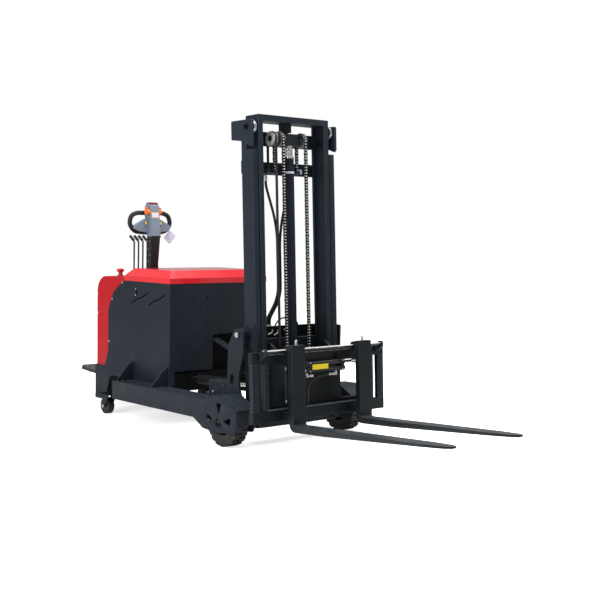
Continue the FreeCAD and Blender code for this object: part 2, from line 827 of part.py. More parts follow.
def outer_rail():
    """Left outer rail with the web carried up behind the guide roller and the pivot boss."""
    rail = channel(outer_half, outer_rear, outer_front, outer_foot, outer_flange_top,
                   outer_flange_width)
    web = block(outer_rear, outer_rear + 46, outer_half - rail_web, outer_half,
                outer_flange_top - 1, outer_web_top)
    boss = rod_y(pivot_x, pivot_z, boss_radius, outer_half, mount_inner - 2)
    bore = rod_y(pivot_x, pivot_z, pivot_radius + shaft_play, outer_half + 6, mount_inner)
    ear = prism("xz", [(outer_rear, pivot_z - 90), (outer_front - 10, pivot_z - 90),
                       (outer_front - 10, pivot_z + 60), (outer_rear, pivot_z + 60)],
                outer_half, outer_half + 8)
    return joined([rail, web, ear, boss.cut(bore)])


cross_front = inner_rear - cross_gap
cross_rear = cross_front - cross_thick


def outer_cross():
    """Cross members of the outer stage, behind the inner rails, and the foot plate."""
    in_half = outer_half - outer_flange_width
    cross_half = in_half + cross_lap
    levels = [(upper_bar_low, upper_bar_high), (lower_plate_low, lower_plate_high),
              (outer_foot, foot_bar_high)]
    shapes = [block(outer_rear + rail_flange, outer_front - rail_flange, -outer_half + rail_web,
                    outer_half - rail_web, outer_foot - 12, outer_foot + 12),
              block(cross_rear, outer_front - rail_flange, -60, 60, outer_foot - 12,
                    outer_foot + 12)]
    for z0, z1 in levels:
        shapes.append(block(cross_rear, cross_front, -cross_half, cross_half, z0, z1))
        for side in (1, -1):
            y0, y1 = sorted((side * in_half, side * cross_half))
            shapes.append(block(cross_rear, outer_rear, y0, y1, z0, z1))
    for y in (sheave_y, -sheave_y, hose_sheave_y):
        shapes.append(block(cross_front, sheave_x - sheave_radius + 14, y - 14, y + 14,
                            strand_foot - anchor_plate, strand_foot))
    for side in (1, -1):
        for edge in (-lug_clear - lug_thick, lug_clear):
            lug = prism("xz", [(cross_rear, tilt_front_z - 30), (cross_rear, tilt_front_z + 30),
                               (tilt_front_x - 16, tilt_front_z + 16, 15),
                               (tilt_front_x - 16, tilt_front_z - 16, 15)],
                        side * tilt_y + edge, side * tilt_y + edge + lug_thick)
            shapes.append(lug)
        shapes.append(rod_y(tilt_front_x, tilt_front_z, tilt_pin_radius,
                            side * tilt_y - lug_clear - lug_thick,
                            side * tilt_y + lug_clear + lug_thick))
    clamp = block(cross_front, cylinder_x, -34, 34, upper_bar_low + 17, upper_bar_high - 20)
    whole = joined(shapes + [clamp])
    whole = whole.cut(rod_z(cylinder_x, 0, barrel_radius, upper_bar_low, upper_bar_high))
    ports = block(cross_rear - port_block_depth, cross_rear, port_first_y - 21,
                  port_first_y + 2 * port_pitch + 20, port_z - 30, port_z + 30)
    return joined([whole, ports])


def mast_hoses():
    """Two hoses from the upper bar that meet in the middle and end on the lower plate."""
    middle = (cross_rear + cross_front) / 2
    tubes = []
    # across at the top, height of the bend under it, step beside the first hose
    for top_y, bend_z, step in ((-118, upper_bar_low - 65, 0), (50, upper_bar_low - 105, hose_pitch)):
        route = [(top_y, upper_bar_low), (top_y, bend_z), (-36 + step, bend_z - 240),
                 (-36 + step, lower_plate_high + 175), (-128 + step, lower_plate_high + 45),
                 (-128 + step, lower_plate_high)]
        tubes.append(hose([(middle, y, z) for y, z in route], hose_radius))
    return group(tubes)


def guide_brackets():
    """Top bracket on each outer rail, with the big guide roller beside the inner rail."""
    shape = [(-83, guide_z + 44, 12), (114, guide_z + 39, 10), (114, guide_z - 106, 6),
             (101, guide_z - 118, 4), (3, guide_z - 80), (-83, guide_z - 67, 12)]
    y0 = outer_half
    left = prism("xz", shape, y0, y0 + 12)
    roller = rod_y(guide_x, guide_z, guide_radius, outer_half - rail_web - 19,
                   outer_half - rail_web - 1)
    pin = rod_y(guide_x, guide_z, 12, outer_half - rail_web - 21, y0 + 1)
    web = block(outer_rear, outer_rear + 46, outer_half - rail_web, outer_half,
                outer_flange_top - 1, outer_web_top)
    both = joined([left, roller, pin.cut(web)])
    return group([both, other_side(both)])


def lift_barrel():
    tube = rod_z(cylinder_x, 0, barrel_radius, outer_foot + 12, barrel_top)
    bore = rod_z(cylinder_x, 0, rod_radius + 0.5, outer_foot + 40, barrel_top + 1)
    return tube.cut(bore)


def inner_rail():
    """Left inner rail with the roller at its foot that runs in the outer rail."""
    rail = channel(inner_half, inner_rear, inner_front, inner_foot, inner_top,
                   inner_flange_width)
    middle = (outer_rear + outer_front) / 2
    shapes = [rail]
    for z in (inner_foot + 45, inner_foot + 330):
        shapes.append(rod_y(middle, z, 14, inner_half - 1, outer_half - rail_web - 6))
        shapes.append(rod_y(middle, z, 32, outer_half - outer_flange_width + 4,
                            outer_half - rail_web - 6))
    return joined(shapes)


def inner_cross():
    """Cross members of the inner stage: top bar, sheave beam, yoke and foot bar."""
    web = inner_half - rail_web
    shapes = [block(inner_rear, inner_front, -web, web, inner_top - 35, inner_top),
              block(inner_rear, inner_rear + rail_flange, -web, web, sheave_bar_low,
                    sheave_bar_high),
              block(inner_rear, inner_rear + 20, -web, web, inner_foot + 2, inner_foot + 45),
              block(inner_rear, cylinder_x, -22, 22, sheave_bar_high - 1, inner_top - 34),
              block(inner_rear + rail_flange - 1, sheave_x + 16, -48, 48, sheave_z - 34,
                    sheave_z + 36)]
    axle = rod_y(sheave_x, sheave_z, 11, hose_sheave_y - 16, sheave_y + 18)
    shapes.append(axle)
    rails = group([inner_rail(), other_side(inner_rail())])
    return joined(shapes).cut(rails)


def lift_rod():
    return rod_z(cylinder_x, 0, rod_radius, 380, sheave_z - 34)


def sheaves():
    """Two chain sheaves and the hose sheave on one axle."""
    shapes = []
    for y in (sheave_y, -sheave_y):
        wheel = rod_y(sheave_x, sheave_z, sheave_radius - chain_thick / 2 - 0.3, y - 9, y + 9)
        rims = [rod_y(sheave_x, sheave_z, sheave_radius + 3, y - 14, y - 9.5),
                rod_y(sheave_x, sheave_z, sheave_radius + 3, y + 9.5, y + 14)]
        core = rod_y(sheave_x, sheave_z, sheave_radius - chain_thick / 2 - 4, y - 11, y + 11)
        shapes.append(joined([wheel, core] + rims).cut(
            rod_y(sheave_x, sheave_z, 11 + shaft_play, y - 20, y + 20)))
    y = hose_sheave_y
    wheel = rod_y(sheave_x, sheave_z, hose_groove, y - 13, y + 13)
    rims = [rod_y(sheave_x, sheave_z, hose_groove + 13, y - 14, y - 10),
            rod_y(sheave_x, sheave_z, hose_groove + 13, y + 10, y + 14)]
    hole = rod_y(sheave_x, sheave_z, 11 + shaft_play, y - 20, y + 20)
    shapes.append(joined([wheel] + rims).cut(hole))
    return group(shapes)


chain_anchor_z = 495
hose_wrap = hose_groove + hose_radius + 0.3


def chain_front():
    """Front strands: round the front half of each sheave and down to the carriage."""
    shapes = []
    for y in (sheave_y, -sheave_y):
        strand = block(sheave_x + sheave_radius - chain_thick / 2,
                       sheave_x + sheave_radius + chain_thick / 2, y - chain_width / 2,
                       y + chain_width / 2, chain_anchor_z, sheave_z)
        ring = rod_y(sheave_x, sheave_z, sheave_radius + chain_thick / 2, y - chain_width / 2,
                     y + chain_width / 2)
        ring = ring.cut(rod_y(sheave_x, sheave_z, sheave_radius - chain_thick / 2, y - 20, y + 20))
        keep = block(sheave_x, sheave_x + 80, y - 20, y + 20, sheave_z, sheave_z + 80)
        shapes.append(joined([strand, ring.common(keep)]))
    return group(shapes)


def chain_rear():
    """Rear strands: from the top of each sheave down to the anchors on the outer stage."""
    shapes = []
    for y in (sheave_y, -sheave_y):
        strand = block(sheave_x - sheave_radius - chain_thick / 2,
                       sheave_x - sheave_radius + chain_thick / 2, y - chain_width / 2,
                       y + chain_width / 2, strand_foot, sheave_z)
        ring = rod_y(sheave_x, sheave_z, sheave_radius + chain_thick / 2, y - chain_width / 2,
                     y + chain_width / 2)
        ring = ring.cut(rod_y(sheave_x, sheave_z, sheave_radius - chain_thick / 2, y - 20, y + 20))
        keep = block(sheave_x - 80, sheave_x, y - 20, y + 20, sheave_z, sheave_z + 80)
        shapes.append(joined([strand, ring.common(keep)]))
    return group(shapes)


def hose_strand(side, foot):
    """Hose from the top of its sheave, round one half of it and down to a foot."""
    y = hose_sheave_y
    straight = rod_z(sheave_x + side * hose_wrap, y, hose_radius, foot, sheave_z)
    section = Part.Face(Part.Wire([Part.makeCircle(hose_radius,
                                                   V(sheave_x + side * hose_wrap, y, sheave_z),
                                                   V(0, 0, 1))]))
    bend = section.revolve(V(sheave_x, y, sheave_z), V(0, 1, 0), -90 * side)
    return joined([straight, bend])


def body_hoses():
    """Three hoses from the block behind the front panel to the ports on the mast."""
    side_reach = cross_rear - port_block_depth - pivot_x
    drop = port_z - pivot_z
    end_x = pivot_x + side_reach * math.cos(tilt) - drop * math.sin(tilt)
    end_z = pivot_z + drop * math.cos(tilt) + side_reach * math.sin(tilt)
    last_run = 45
    # x, z and share of the way across, from the body to the mast
    route = [(-712, hose_block_low, 0), (-712, 552, 0), (-632, 528, 0.04), (-550, 505, 0.1),
             (-465, 488, 0.22), (-375, 484, 0.4), (-290, 492, 0.6), (-215, 510, 0.8),
             (-155, 536, 0.93),
             (end_x - last_run * math.cos(tilt), end_z - last_run * math.sin(tilt), 1),
             (end_x, end_z, 1)]
    tubes = []
    for i in range(3):
        y0 = hose_first_y + hose_pitch * i
        y1 = port_first_y + port_pitch * i
        points = [(x, y0 + (y1 - y0) * share, z) for x, z, share in route]
        tubes.append(hose(points, hose_radius))
    return group(tubes)


def carriage():
    """Lift carriage: side plates with rollers in the inner rails, bars, posts and back plate."""
    plate_out = inner_half - inner_flange_width - 20
    plate_in = plate_out - 14
    rail_mid = (inner_rear + inner_front) / 2
    shapes = []
    for side in (1, -1):
        y0, y1 = sorted((side * plate_in, side * plate_out))
        shapes.append(prism("xz", [(rail_mid - 36, carriage_low - 10, 20),
                                   (carriage_bar_rear + 1, carriage_low - 10),
                                   (carriage_bar_rear + 1, carriage_top - 8),
                                   (carriage_bar_rear - 24, carriage_top - 8),
                                   (rail_mid + 60, 590, 20), (rail_mid - 36, 590, 20)], y0, y1))
        for z in (carriage_low + 32, 545):
            y0, y1 = sorted((side * (plate_out - 1), side * (inner_half - rail_web - 7)))
            shapes.append(rod_y(rail_mid, z, roller_radius, y0 + (5 if side > 0 else 0),
                                y1 - (0 if side > 0 else 5)))
            shapes.append(rod_y(rail_mid, z, 16, y0, y1))
        y0, y1 = sorted((side * (carriage_half - 40), side * carriage_half))
        shapes.append(block(carriage_bar_rear, carriage_bar_front, y0, y1, carriage_low,
                            carriage_top))
    for y in (sheave_y, -sheave_y, hose_sheave_y):
        shapes.append(block(sheave_x + sheave_radius - chain_thick / 2 - 8,
                            sheave_x + sheave_radius + chain_thick / 2 + 14, y - 14, y + 14,
                            chain_anchor_z - 40, chain_anchor_z))
        shapes.append(block(sheave_x + sheave_radius, carriage_bar_rear + 1, y - 10, y + 10,
                            chain_anchor_z - 60, chain_anchor_z - 15))
    for z0 in (carriage_low, carriage_top - carriage_bar_height):
        shapes.append(block(carriage_bar_rear, carriage_bar_front, -carriage_half, carriage_half,
                            z0, z0 + carriage_bar_height))
    shapes.append(block(carriage_bar_rear, carriage_bar_rear + 8, -plate_out, plate_out,
                        carriage_low, carriage_top))
    return joined(shapes)


frame_rear = frame_front - frame_thick


def frame_bars():
    """Sliding fork frame: upper bar with its notched edge, lower bar, pads and hooks."""
    upper_low = frame_upper_top - frame_bar_height
    lower_top = frame_lower_bottom + frame_bar_height
    upper = block(frame_rear, frame_front, -frame_half, frame_half, upper_low, frame_upper_top)
    notches = []
    for i in range(9):
        y = (i - 4) * 100
        notches.append(prism("yz", [(y - 14, frame_upper_top + 1), (y - 8, frame_upper_top - 9),
                                    (y + 8, frame_upper_top - 9), (y + 14, frame_upper_top + 1)],
                             frame_front - 16, frame_front + 1))
    upper = upper.cut(group(notches))
    lower = block(frame_rear, frame_front, -frame_half, frame_half, frame_lower_bottom, lower_top)
    shapes = [upper, lower]
    pad_front = frame_rear + 1
    for y in (-300, -100, 100, 300):
        shapes.append(block(carriage_bar_front + slide_gap, pad_front, y - 30, y + 30,
                            upper_low, carriage_top - 4))
        shapes.append(block(carriage_bar_front + slide_gap, pad_front, y - 30, y + 30,
                            carriage_low + 4, lower_top))
        shapes.append(block(carriage_bar_rear - 12, pad_front, y - 30, y + 30,
                            carriage_top + slide_gap, frame_upper_top - 8))
    return joined(shapes)


def frame_ends():
    """End brackets and inner posts of the fork frame, with an eye for the hanging shaft."""
    low = frame_lower_bottom + frame_bar_height
    high = frame_upper_top - frame_bar_height
    post = block(frame_rear + 8, frame_front, frame_half - 50, frame_half, low, high)
    inner_post = block(frame_rear + 8, frame_front, frame_half - 124, frame_half - 88, low, high)
    ear = prism("xz", [(frame_front, high + 20), (frame_front, frame_upper_top - 4),
                       (hang_shaft_x - 8, hang_shaft_z + 18, 12),
                       (hang_shaft_x + 18, hang_shaft_z + 18, 14),
                       (hang_shaft_x + 18, hang_shaft_z - 18, 14)],
                frame_half - 70, frame_half - 52)
    hole = rod_y(hang_shaft_x, hang_shaft_z, hang_shaft_radius, frame_half - 75, frame_half - 45)
    left = group([post, inner_post, ear.cut(hole)])
    return group([left, other_side(left)])


def hang_shaft():
    return rod_y(hang_shaft_x, hang_shaft_z, hang_shaft_radius, -frame_half + 48,
                 frame_half - 48)


def spreader():
    """Two spreading cylinders in one block under the upper bar, carried by two brackets."""
    high_z = spreader_low_z + spreader_pitch
    body = block(spreader_x - 15, spreader_x + 15, -spreader_half, spreader_half,
                 spreader_low_z - 15, high_z + 15)
    shapes = [body]
    for y in (-110, 110):
        shapes.append(block(frame_front, spreader_x - 14, y - 15, y + 15,
                            spreader_low_z + 4, frame_upper_top - frame_bar_height + 30))
    whole = joined(shapes)
    for z in (spreader_low_z, high_z):
        whole = whole.cut(rod_y(spreader_x, z, spreader_rod_radius + 0.5, -spreader_half - 1,
                                spreader_half + 1))
    return whole


def fork(rod_z_level):
    """Left fork with its hanging lug, foot pad and spreading rod."""
    back = fork_front - fork_thick
    tip = fork_front + fork_length
    blade_top = fork_bottom + fork_thick
    y0 = fork_y - fork_width / 2
    y1 = fork_y + fork_width / 2
    side = prism("xz", [(back, fork_top), (back, fork_bottom, 48), (fork_front + 250, fork_bottom),
                        (tip, blade_top - fork_tip_thick, 3), (tip, blade_top, 3),
                        (fork_front, blade_top, 14), (fork_front, fork_top)], y0, y1)
    narrow = (fork_width - fork_tip_width) / 2
    above = prism("xy", [(back - 1, y0 - 1), (back - 1, y1 + 1), (tip - 190, y1 + 1),
                         (tip - 190, y1, 40), (tip - 40, y1 - narrow + 6, 30),
                         (tip, y1 - narrow - 14, 12), (tip, y0 + narrow + 14, 12),
                         (tip - 40, y0 + narrow - 6, 30), (tip - 190, y0, 40),
                         (tip - 190, y0 - 1)], fork_bottom - 1, fork_top + 1)
    shapes = [side.common(above)]
    lug = prism("xz", [(back + 1, hang_shaft_z - 26), (hang_shaft_x - 10, hang_shaft_z - 24, 20),
                       (hang_shaft_x - 24, hang_shaft_z + 2, 20),
                       (hang_shaft_x - 10, hang_shaft_z + 26, 20), (back + 1, hang_shaft_z + 28)],
                y0 + 6, y1 - 6)
    shapes.append(lug)
    shapes.append(block(frame_front + slide_gap, back + 1, y0 + 10, y1 - 10,
                        frame_lower_bottom + 6, frame_lower_bottom + 52))
    rod_lug = block(spreader_x - 10, back + 1, y0 + 8, y0 + 30, rod_z_level - 12, rod_z_level + 12)
    shapes.append(rod_lug)
    shapes.append(rod_y(spreader_x, rod_z_level, spreader_rod_radius, -80, y0 + 20))
    hole = rod_y(hang_shaft_x, hang_shaft_z, hang_shaft_radius + 0.4, y0 - 1, y1 + 1)
    return joined(shapes).cut(hole)


# Rest place of the tilt cylinders' front eyes, once the mast leans back
eye_dx = tilt_front_x - pivot_x
eye_dz = tilt_front_z - pivot_z
eye_x = pivot_x + eye_dx * math.cos(tilt) - eye_dz * math.sin(tilt)
eye_z = pivot_z + eye_dz * math.cos(tilt) + eye_dx * math.sin(tilt)
tilt_length = math.hypot(eye_x - tilt_rear_x, eye_z - tilt_rear_z)
tilt_slope = math.degrees(math.atan2(eye_z - tilt_rear_z, eye_x - tilt_rear_x))


def along_cylinder(shape):
    """Turns a shape drawn along +X from the rear eye onto the cylinder's line."""
    shape.rotate(V(0, 0, 0), V(0, 1, 0), -tilt_slope)
    shape.translate(V(tilt_rear_x, tilt_y, tilt_rear_z))
    return shape


def tilt_barrel():
    eye = Part.makeCylinder(17, 24, V(0, -12, 0), V(0, 1, 0))
    stem = block(8, 44, -11, 11, -13, 13)
    tube = Part.makeCylinder(tilt_barrel_radius, tilt_length * 0.52, V(40, 0, 0), V(1, 0, 0))
    bore = Part.makeCylinder(tilt_rod_radius + 0.5, tilt_length, V(80, 0, 0), V(1, 0, 0))
    hole = Part.makeCylinder(tilt_pin_radius + shaft_play, 40, V(0, -20, 0), V(0, 1, 0))
    return along_cylinder(joined([eye, stem, tube]).cut(bore).cut(hole))


def tilt_rod():
    """Chromed rod; its eye has room for the small error of a straight-line coupling."""
    eye = Part.makeCylinder(17, 24, V(tilt_length, -12, 0), V(0, 1, 0))
    rod = Part.makeCylinder(tilt_rod_radius, tilt_length * 0.62, V(tilt_length * 0.36, 0, 0),
                            V(1, 0, 0))
    hole = Part.makeCylinder(tilt_pin_radius + rod_eye_play, 40, V(tilt_length, -20, 0),
                             V(0, 1, 0))
    return along_cylinder(joined([rod, eye]).cut(hole))


def main():
    wheel_parts = {"leg": leg(), "mast_mount": mast_mount(), "side_panel": side_panel(),
                   "front_tyre": tyre(), "front_hub": hub(), "castor_fork": castor_fork(),
                   "castor_wheel": castor_wheel(), "tilt_barrel": tilt_barrel(),
                   "tilt_rod": tilt_rod()}
    for name, shape in wheel_parts.items():
        save(name + "_left", shape)
        save(name + "_right", other_side(shape))
    save("leg_gussets", gussets())
    save("base_frame", base_frame())
    save("front_panel", front_panel())
    save("rear_skirt", rear_skirt())
    save("rear_cowl", cowl())
    save("battery_block", battery())
    save("battery_lid", lid())
    save("lid_hinge_pins", lid_hinge_pins())
    save("control_levers", levers())
    save("stop_button", stop_button())
    save("drive_unit", drive_unit())
    save("drive_wheel", drive_wheel())
    save("steering_head", steering_head())
    save("tiller_column", tiller_column())
    save("tiller_head", tiller_head())
    save("tiller_handle", tiller_handle())
    save("platform_deck", platform())
    rail = outer_rail()
    save_tilted("outer_rail_left", rail)
    save_tilted("outer_rail_right", other_side(rail))
    save_tilted("outer_cross_members", outer_cross())
    save_tilted("guide_brackets", guide_brackets())
    save_tilted("lift_barrel", lift_barrel())
    rail = inner_rail()
    save_tilted("inner_rail_left", rail)
    save_tilted("inner_rail_right", other_side(rail))
    save_tilted("inner_cross_members", inner_cross())
    save_tilted("lift_rod", lift_rod())
    save_tilted("mast_sheaves", sheaves())
    save_tilted("chain_front_strands", chain_front())
    save_tilted("chain_rear_strands", chain_rear())
    save_tilted("hose_front_strand", hose_strand(1, chain_anchor_z))
    save_tilted("hose_rear_strand", hose_strand(-1, strand_foot))
    save_tilted("mast_hoses", mast_hoses())
    save("body_hoses", body_hoses())
    save_tilted("lift_carriage", carriage())
    save_tilted("fork_frame_bars", frame_bars())
    save_tilted("fork_frame_ends", frame_ends())
    save_tilted("fork_hanging_shaft", hang_shaft())
    save_tilted("fork_spreader", spreader())
    save_tilted("fork_left", fork(spreader_low_z + spreader_pitch))
    save_tilted("fork_right", other_side(fork(spreader_low_z)))


main()
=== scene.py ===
"""Rough terrain stacker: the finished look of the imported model."""
import json
import math

import bmesh
import bpy
from bpy.props import FloatProperty, FloatVectorProperty, PointerProperty
from mathutils import Matrix, Vector


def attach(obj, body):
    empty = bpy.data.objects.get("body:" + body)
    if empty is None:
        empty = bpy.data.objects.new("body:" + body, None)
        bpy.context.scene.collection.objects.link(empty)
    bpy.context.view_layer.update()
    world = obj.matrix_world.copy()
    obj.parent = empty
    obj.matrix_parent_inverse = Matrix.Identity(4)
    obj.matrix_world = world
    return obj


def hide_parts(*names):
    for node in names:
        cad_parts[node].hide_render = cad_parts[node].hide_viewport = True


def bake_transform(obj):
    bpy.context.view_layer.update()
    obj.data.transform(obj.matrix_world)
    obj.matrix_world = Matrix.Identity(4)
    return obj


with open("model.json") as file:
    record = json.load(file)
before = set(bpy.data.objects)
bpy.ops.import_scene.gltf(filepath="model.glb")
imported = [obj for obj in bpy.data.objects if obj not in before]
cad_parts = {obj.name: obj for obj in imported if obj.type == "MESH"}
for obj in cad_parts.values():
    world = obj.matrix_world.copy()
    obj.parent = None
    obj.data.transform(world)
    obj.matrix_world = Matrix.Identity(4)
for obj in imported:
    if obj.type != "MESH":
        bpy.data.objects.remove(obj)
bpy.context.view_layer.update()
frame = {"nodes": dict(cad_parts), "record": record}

bl_info = {
    "name": "Rough terrain stacker",
    "version": (1, 0, 0),
    "blender": (4, 5, 0),
    "location": "View3D > Sidebar > Stacker",
    "description": "Dresses the packed stacker with finished pieces and materials",
    "category": "Object",
}

NODES = frame["nodes"]
RECORD = frame["record"]
BODY_OF = {node: body for body, nodes in RECORD["behaviour"]["bodies"].items() for node in nodes}

# Sizes below are in metres from the datum line of the part's source, which lies this far in front
# of the middle of the whole length.
DATUM = 0.292371
PIVOT_X = 0.012
PIVOT_Z = 0.647
MAST_LEAN = math.radians(-3)
UPRIGHT = Matrix.Translation((DATUM, 0, 0))
LEANED = (Matrix.Translation((PIVOT_X + DATUM, 0, PIVOT_Z)) @ Matrix.Rotation(MAST_LEAN, 4, "Y")
          @ Matrix.Translation((-PIVOT_X, 0, -PIVOT_Z)))
LEANED_BACK = LEANED.inverted()
UPRIGHT_BACK = UPRIGHT.inverted()
SEAM_ANGLE = math.radians(32)
# name, sign of y, and the way that a bolt head on the outside points
SIDES = (("left", 1, "y"), ("right", -1, "-y"))

# Places that several pieces share, in the same frame as above
AXLE_X = 0.020
AXLE_Z = 0.140
BODY_TOP = 0.9302
COWL_MIDDLE = -1.36
GUIDE_X = 0.062
GUIDE_Z = 1.860
SHEAVE_X = 0.060
SHEAVE_Z = 1.800
SHEAVE_RADIUS = 0.042
LIFT_X = 0.050
PLATE_FACE = -0.0240
PORT_X = -0.033
CYLINDER_X = 0.336
CYLINDER_LOW = 0.438
CYLINDER_HIGH = 0.472
LEVER_X = -1.355
BUTTON_SPOT = (-1.445, -0.270, 0)


class StackerSizes(bpy.types.PropertyGroup):
    """Sizes of the small details."""
    edge: FloatProperty(name="Edge rounding", description="Width of the rounding along plate edges",
                        default=0.0016, subtype="DISTANCE", unit="LENGTH")
    bolt: FloatProperty(name="Bolt head", description="Radius of the larger bolt heads",
                        default=0.0095, subtype="DISTANCE", unit="LENGTH")
    chain_pitch: FloatProperty(name="Chain pitch", description="Distance from pin to pin",
                               default=0.0175, subtype="DISTANCE", unit="LENGTH")


class StackerColours(bpy.types.PropertyGroup):
    """Main colours of the stacker."""
    charcoal: FloatVectorProperty(name="Charcoal", description="Paint of the body, legs and mast",
                                  default=(0.0118, 0.0168, 0.0242), subtype="COLOR", size=3)
    fork_black: FloatVectorProperty(name="Fork black", description="Paint of the forks and frame",
                                    default=(0.0060, 0.0086, 0.0106), subtype="COLOR", size=3)
    red: FloatVectorProperty(name="Red", description="Paint of the lid and the rear cowl",
                             default=(0.62, 0.006, 0.014), subtype="COLOR", size=3)
    tiller_grey: FloatVectorProperty(name="Tiller grey", description="Plastic of the tiller head",
                                     default=(0.165, 0.215, 0.275), subtype="COLOR", size=3)


def deselect_all():
    if bpy.context.object and bpy.context.object.mode != "OBJECT":
        bpy.ops.object.mode_set(mode="OBJECT")
    bpy.ops.object.select_all(action="DESELECT")


def take(piece):
    """Makes one object the only selected and active one."""
    deselect_all()
    piece.hide_set(False)
    piece.select_set(True)
    bpy.context.view_layer.objects.active = piece


def begin_edit(piece, kind="FACE"):
    take(piece)
    bpy.ops.object.mode_set(mode="EDIT")
    bpy.ops.mesh.select_mode(type=kind)
    bpy.ops.mesh.select_all(action="DESELECT")


def end_edit():
    bpy.ops.object.mode_set(mode="OBJECT")


def fresh(name):
    """Names the primitive that was just added and returns it."""
    piece = bpy.context.object
    piece.name = name
    piece.data.name = name
    return piece


def cube(name, low, high):
    """Cube primitive at its size and place, from two corners."""
    deselect_all()
    low, high = Vector(low), Vector(high)
    bpy.ops.mesh.primitive_cube_add(size=1, location=(low + high) / 2, scale=high - low)
    piece = fresh(name)
    bpy.ops.object.transform_apply(location=True, rotation=True, scale=True)
    return piece


def even_shading(piece):
    """Smooth shading whose normals follow the large flat faces."""
    take(piece)
    bpy.ops.object.shade_smooth_by_angle(angle=SEAM_ANGLE)
    even = piece.modifiers.new("even", "WEIGHTED_NORMAL")
    even.mode = "FACE_AREA"
    even.weight = 50
    even.keep_sharp = True
    bpy.ops.object.modifier_apply(modifier=even.name)
    return piece


def round_edges(piece, width, segments=2, angle=SEAM_ANGLE, edge_slot=False):
    """Bevels all sharp edges; the new faces may take the piece's second material."""
    take(piece)
    bevel = piece.modifiers.new("edges", "BEVEL")
    bevel.width = width
    bevel.segments = segments
    bevel.limit_method = "ANGLE"
    bevel.angle_limit = angle
    bevel.use_clamp_overlap = True
    bevel.miter_outer = "MITER_ARC"
    if edge_slot:
        bevel.material = 1
    bpy.ops.object.modifier_apply(modifier=bevel.name)
    return even_shading(piece)


def tidy_normals(piece):
    begin_edit(piece, "VERT")
    bpy.ops.mesh.select_all(action="SELECT")
    bpy.ops.mesh.remove_doubles(threshold=0.00001)
    bpy.ops.mesh.normals_make_consistent(inside=False)
    end_edit()


def settle(piece, body, place=UPRIGHT, replaced=()):
    """Puts a finished mesh where it belongs, hands it to its body and hides the CAD nodes that it
    replaces.
    """
    take(piece)
    bpy.ops.object.transform_apply(location=True, rotation=True, scale=True)
    piece.data.transform(place)
    piece.data.update()
    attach(piece, body)
    if replaced:
        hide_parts(*replaced)
    return piece


def plate(name, corners, low, high, across="y"):
    """Flat plate from an outline; corners are (a, b) in the plane across the given axis."""
    deselect_all()
    bpy.ops.mesh.primitive_circle_add(vertices=len(corners), radius=0.1, fill_type="NGON")
    piece = fresh(name)
    for vertex, (a, b) in zip(piece.data.vertices, corners):
        vertex.co = {"x": (low, a, b), "y": (a, low, b), "z": (a, b, low)}[across]
    begin_edit(piece)
    bpy.ops.mesh.select_all(action="SELECT")
    step = {"x": (high - low, 0, 0), "y": (0, high - low, 0), "z": (0, 0, high - low)}[across]
    bpy.ops.mesh.extrude_region_move(TRANSFORM_OT_translate={"value": step})
    end_edit()
    tidy_normals(piece)
    return piece


AXIS_TURN = {
    "x": Matrix.Rotation(math.pi / 2, 4, "Y"),
    "-x": Matrix.Rotation(-math.pi / 2, 4, "Y"),
    "y": Matrix.Rotation(-math.pi / 2, 4, "X"),
    "-y": Matrix.Rotation(math.pi / 2, 4, "X"),
    "z": Matrix.Identity(4),
    "-z": Matrix.Rotation(math.pi, 4, "X"),
}


def turned(name, rings, segments=32, axis="z", at=(0, 0, 0)):
    """Turned piece: a disc that is extruded and scaled ring by ring, as (height, radius)."""
    deselect_all()
    first_height, first_radius = rings[0]
    bpy.ops.mesh.primitive_circle_add(vertices=segments, radius=first_radius, fill_type="NGON",
                                      location=(0, 0, first_height))
    piece = fresh(name)
    bpy.ops.object.transform_apply(location=True, rotation=False, scale=False)
    begin_edit(piece)
    bpy.ops.mesh.select_all(action="SELECT")
    height, radius = first_height, first_radius
    for next_height, next_radius in rings[1:]:
        bpy.ops.mesh.extrude_region_move(
            TRANSFORM_OT_translate={"value": (0, 0, next_height - height)})
        factor = next_radius / radius
        bpy.ops.transform.resize(value=(factor, factor, 1), center_override=(0, 0, next_height))
        height, radius = next_height, next_radius
    end_edit()
    tidy_normals(piece)
    piece.data.transform(Matrix.Translation(at) @ AXIS_TURN[axis])
    take(piece)
    bpy.ops.object.shade_smooth_by_angle(angle=SEAM_ANGLE)
    return piece


def ring(name, outer, inner, low, high, segments=40, axis="y", at=(0, 0, 0)):
    """Turned ring with a hole: the side profile is closed on itself."""
    deselect_all()
    bpy.ops.mesh.primitive_circle_add(vertices=segments, radius=outer, location=(0, 0, low))
    piece = fresh(name)
    bpy.ops.object.transform_apply(location=True, rotation=False, scale=False)
    begin_edit(piece, "EDGE")
    bpy.ops.mesh.select_all(action="SELECT")
    for step, radius, before in ((high - low, outer, outer), (0, inner, outer),
                                 (low - high, inner, inner)):
        bpy.ops.mesh.extrude_region_move(TRANSFORM_OT_translate={"value": (0, 0, step)})
        factor = radius / before
        bpy.ops.transform.resize(value=(factor, factor, 1), center_override=(0, 0, 0))
    bpy.ops.mesh.select_all(action="SELECT")
    bpy.ops.mesh.remove_doubles(threshold=0.00001)
    end_edit()
    begin_edit(piece, "EDGE")
    mesh = bmesh.from_edit_mesh(piece.data)
    for edge in mesh.edges:
        edge.select_set(edge.is_boundary)
    bmesh.update_edit_mesh(piece.data)
    bpy.ops.mesh.bridge_edge_loops()
    end_edit()
    tidy_normals(piece)
    piece.data.transform(Matrix.Translation(at) @ AXIS_TURN[axis])
    take(piece)
    bpy.ops.object.shade_smooth_by_angle(angle=SEAM_ANGLE)
    return piece


def merge(name, pieces):
    """Joins several meshes into one piece, keeping their materials."""
    deselect_all()
    for piece in pieces:
        piece.select_set(True)
    bpy.context.view_layer.objects.active = pieces[0]
    if len(pieces) > 1:
        bpy.ops.object.join()
    return fresh(name)


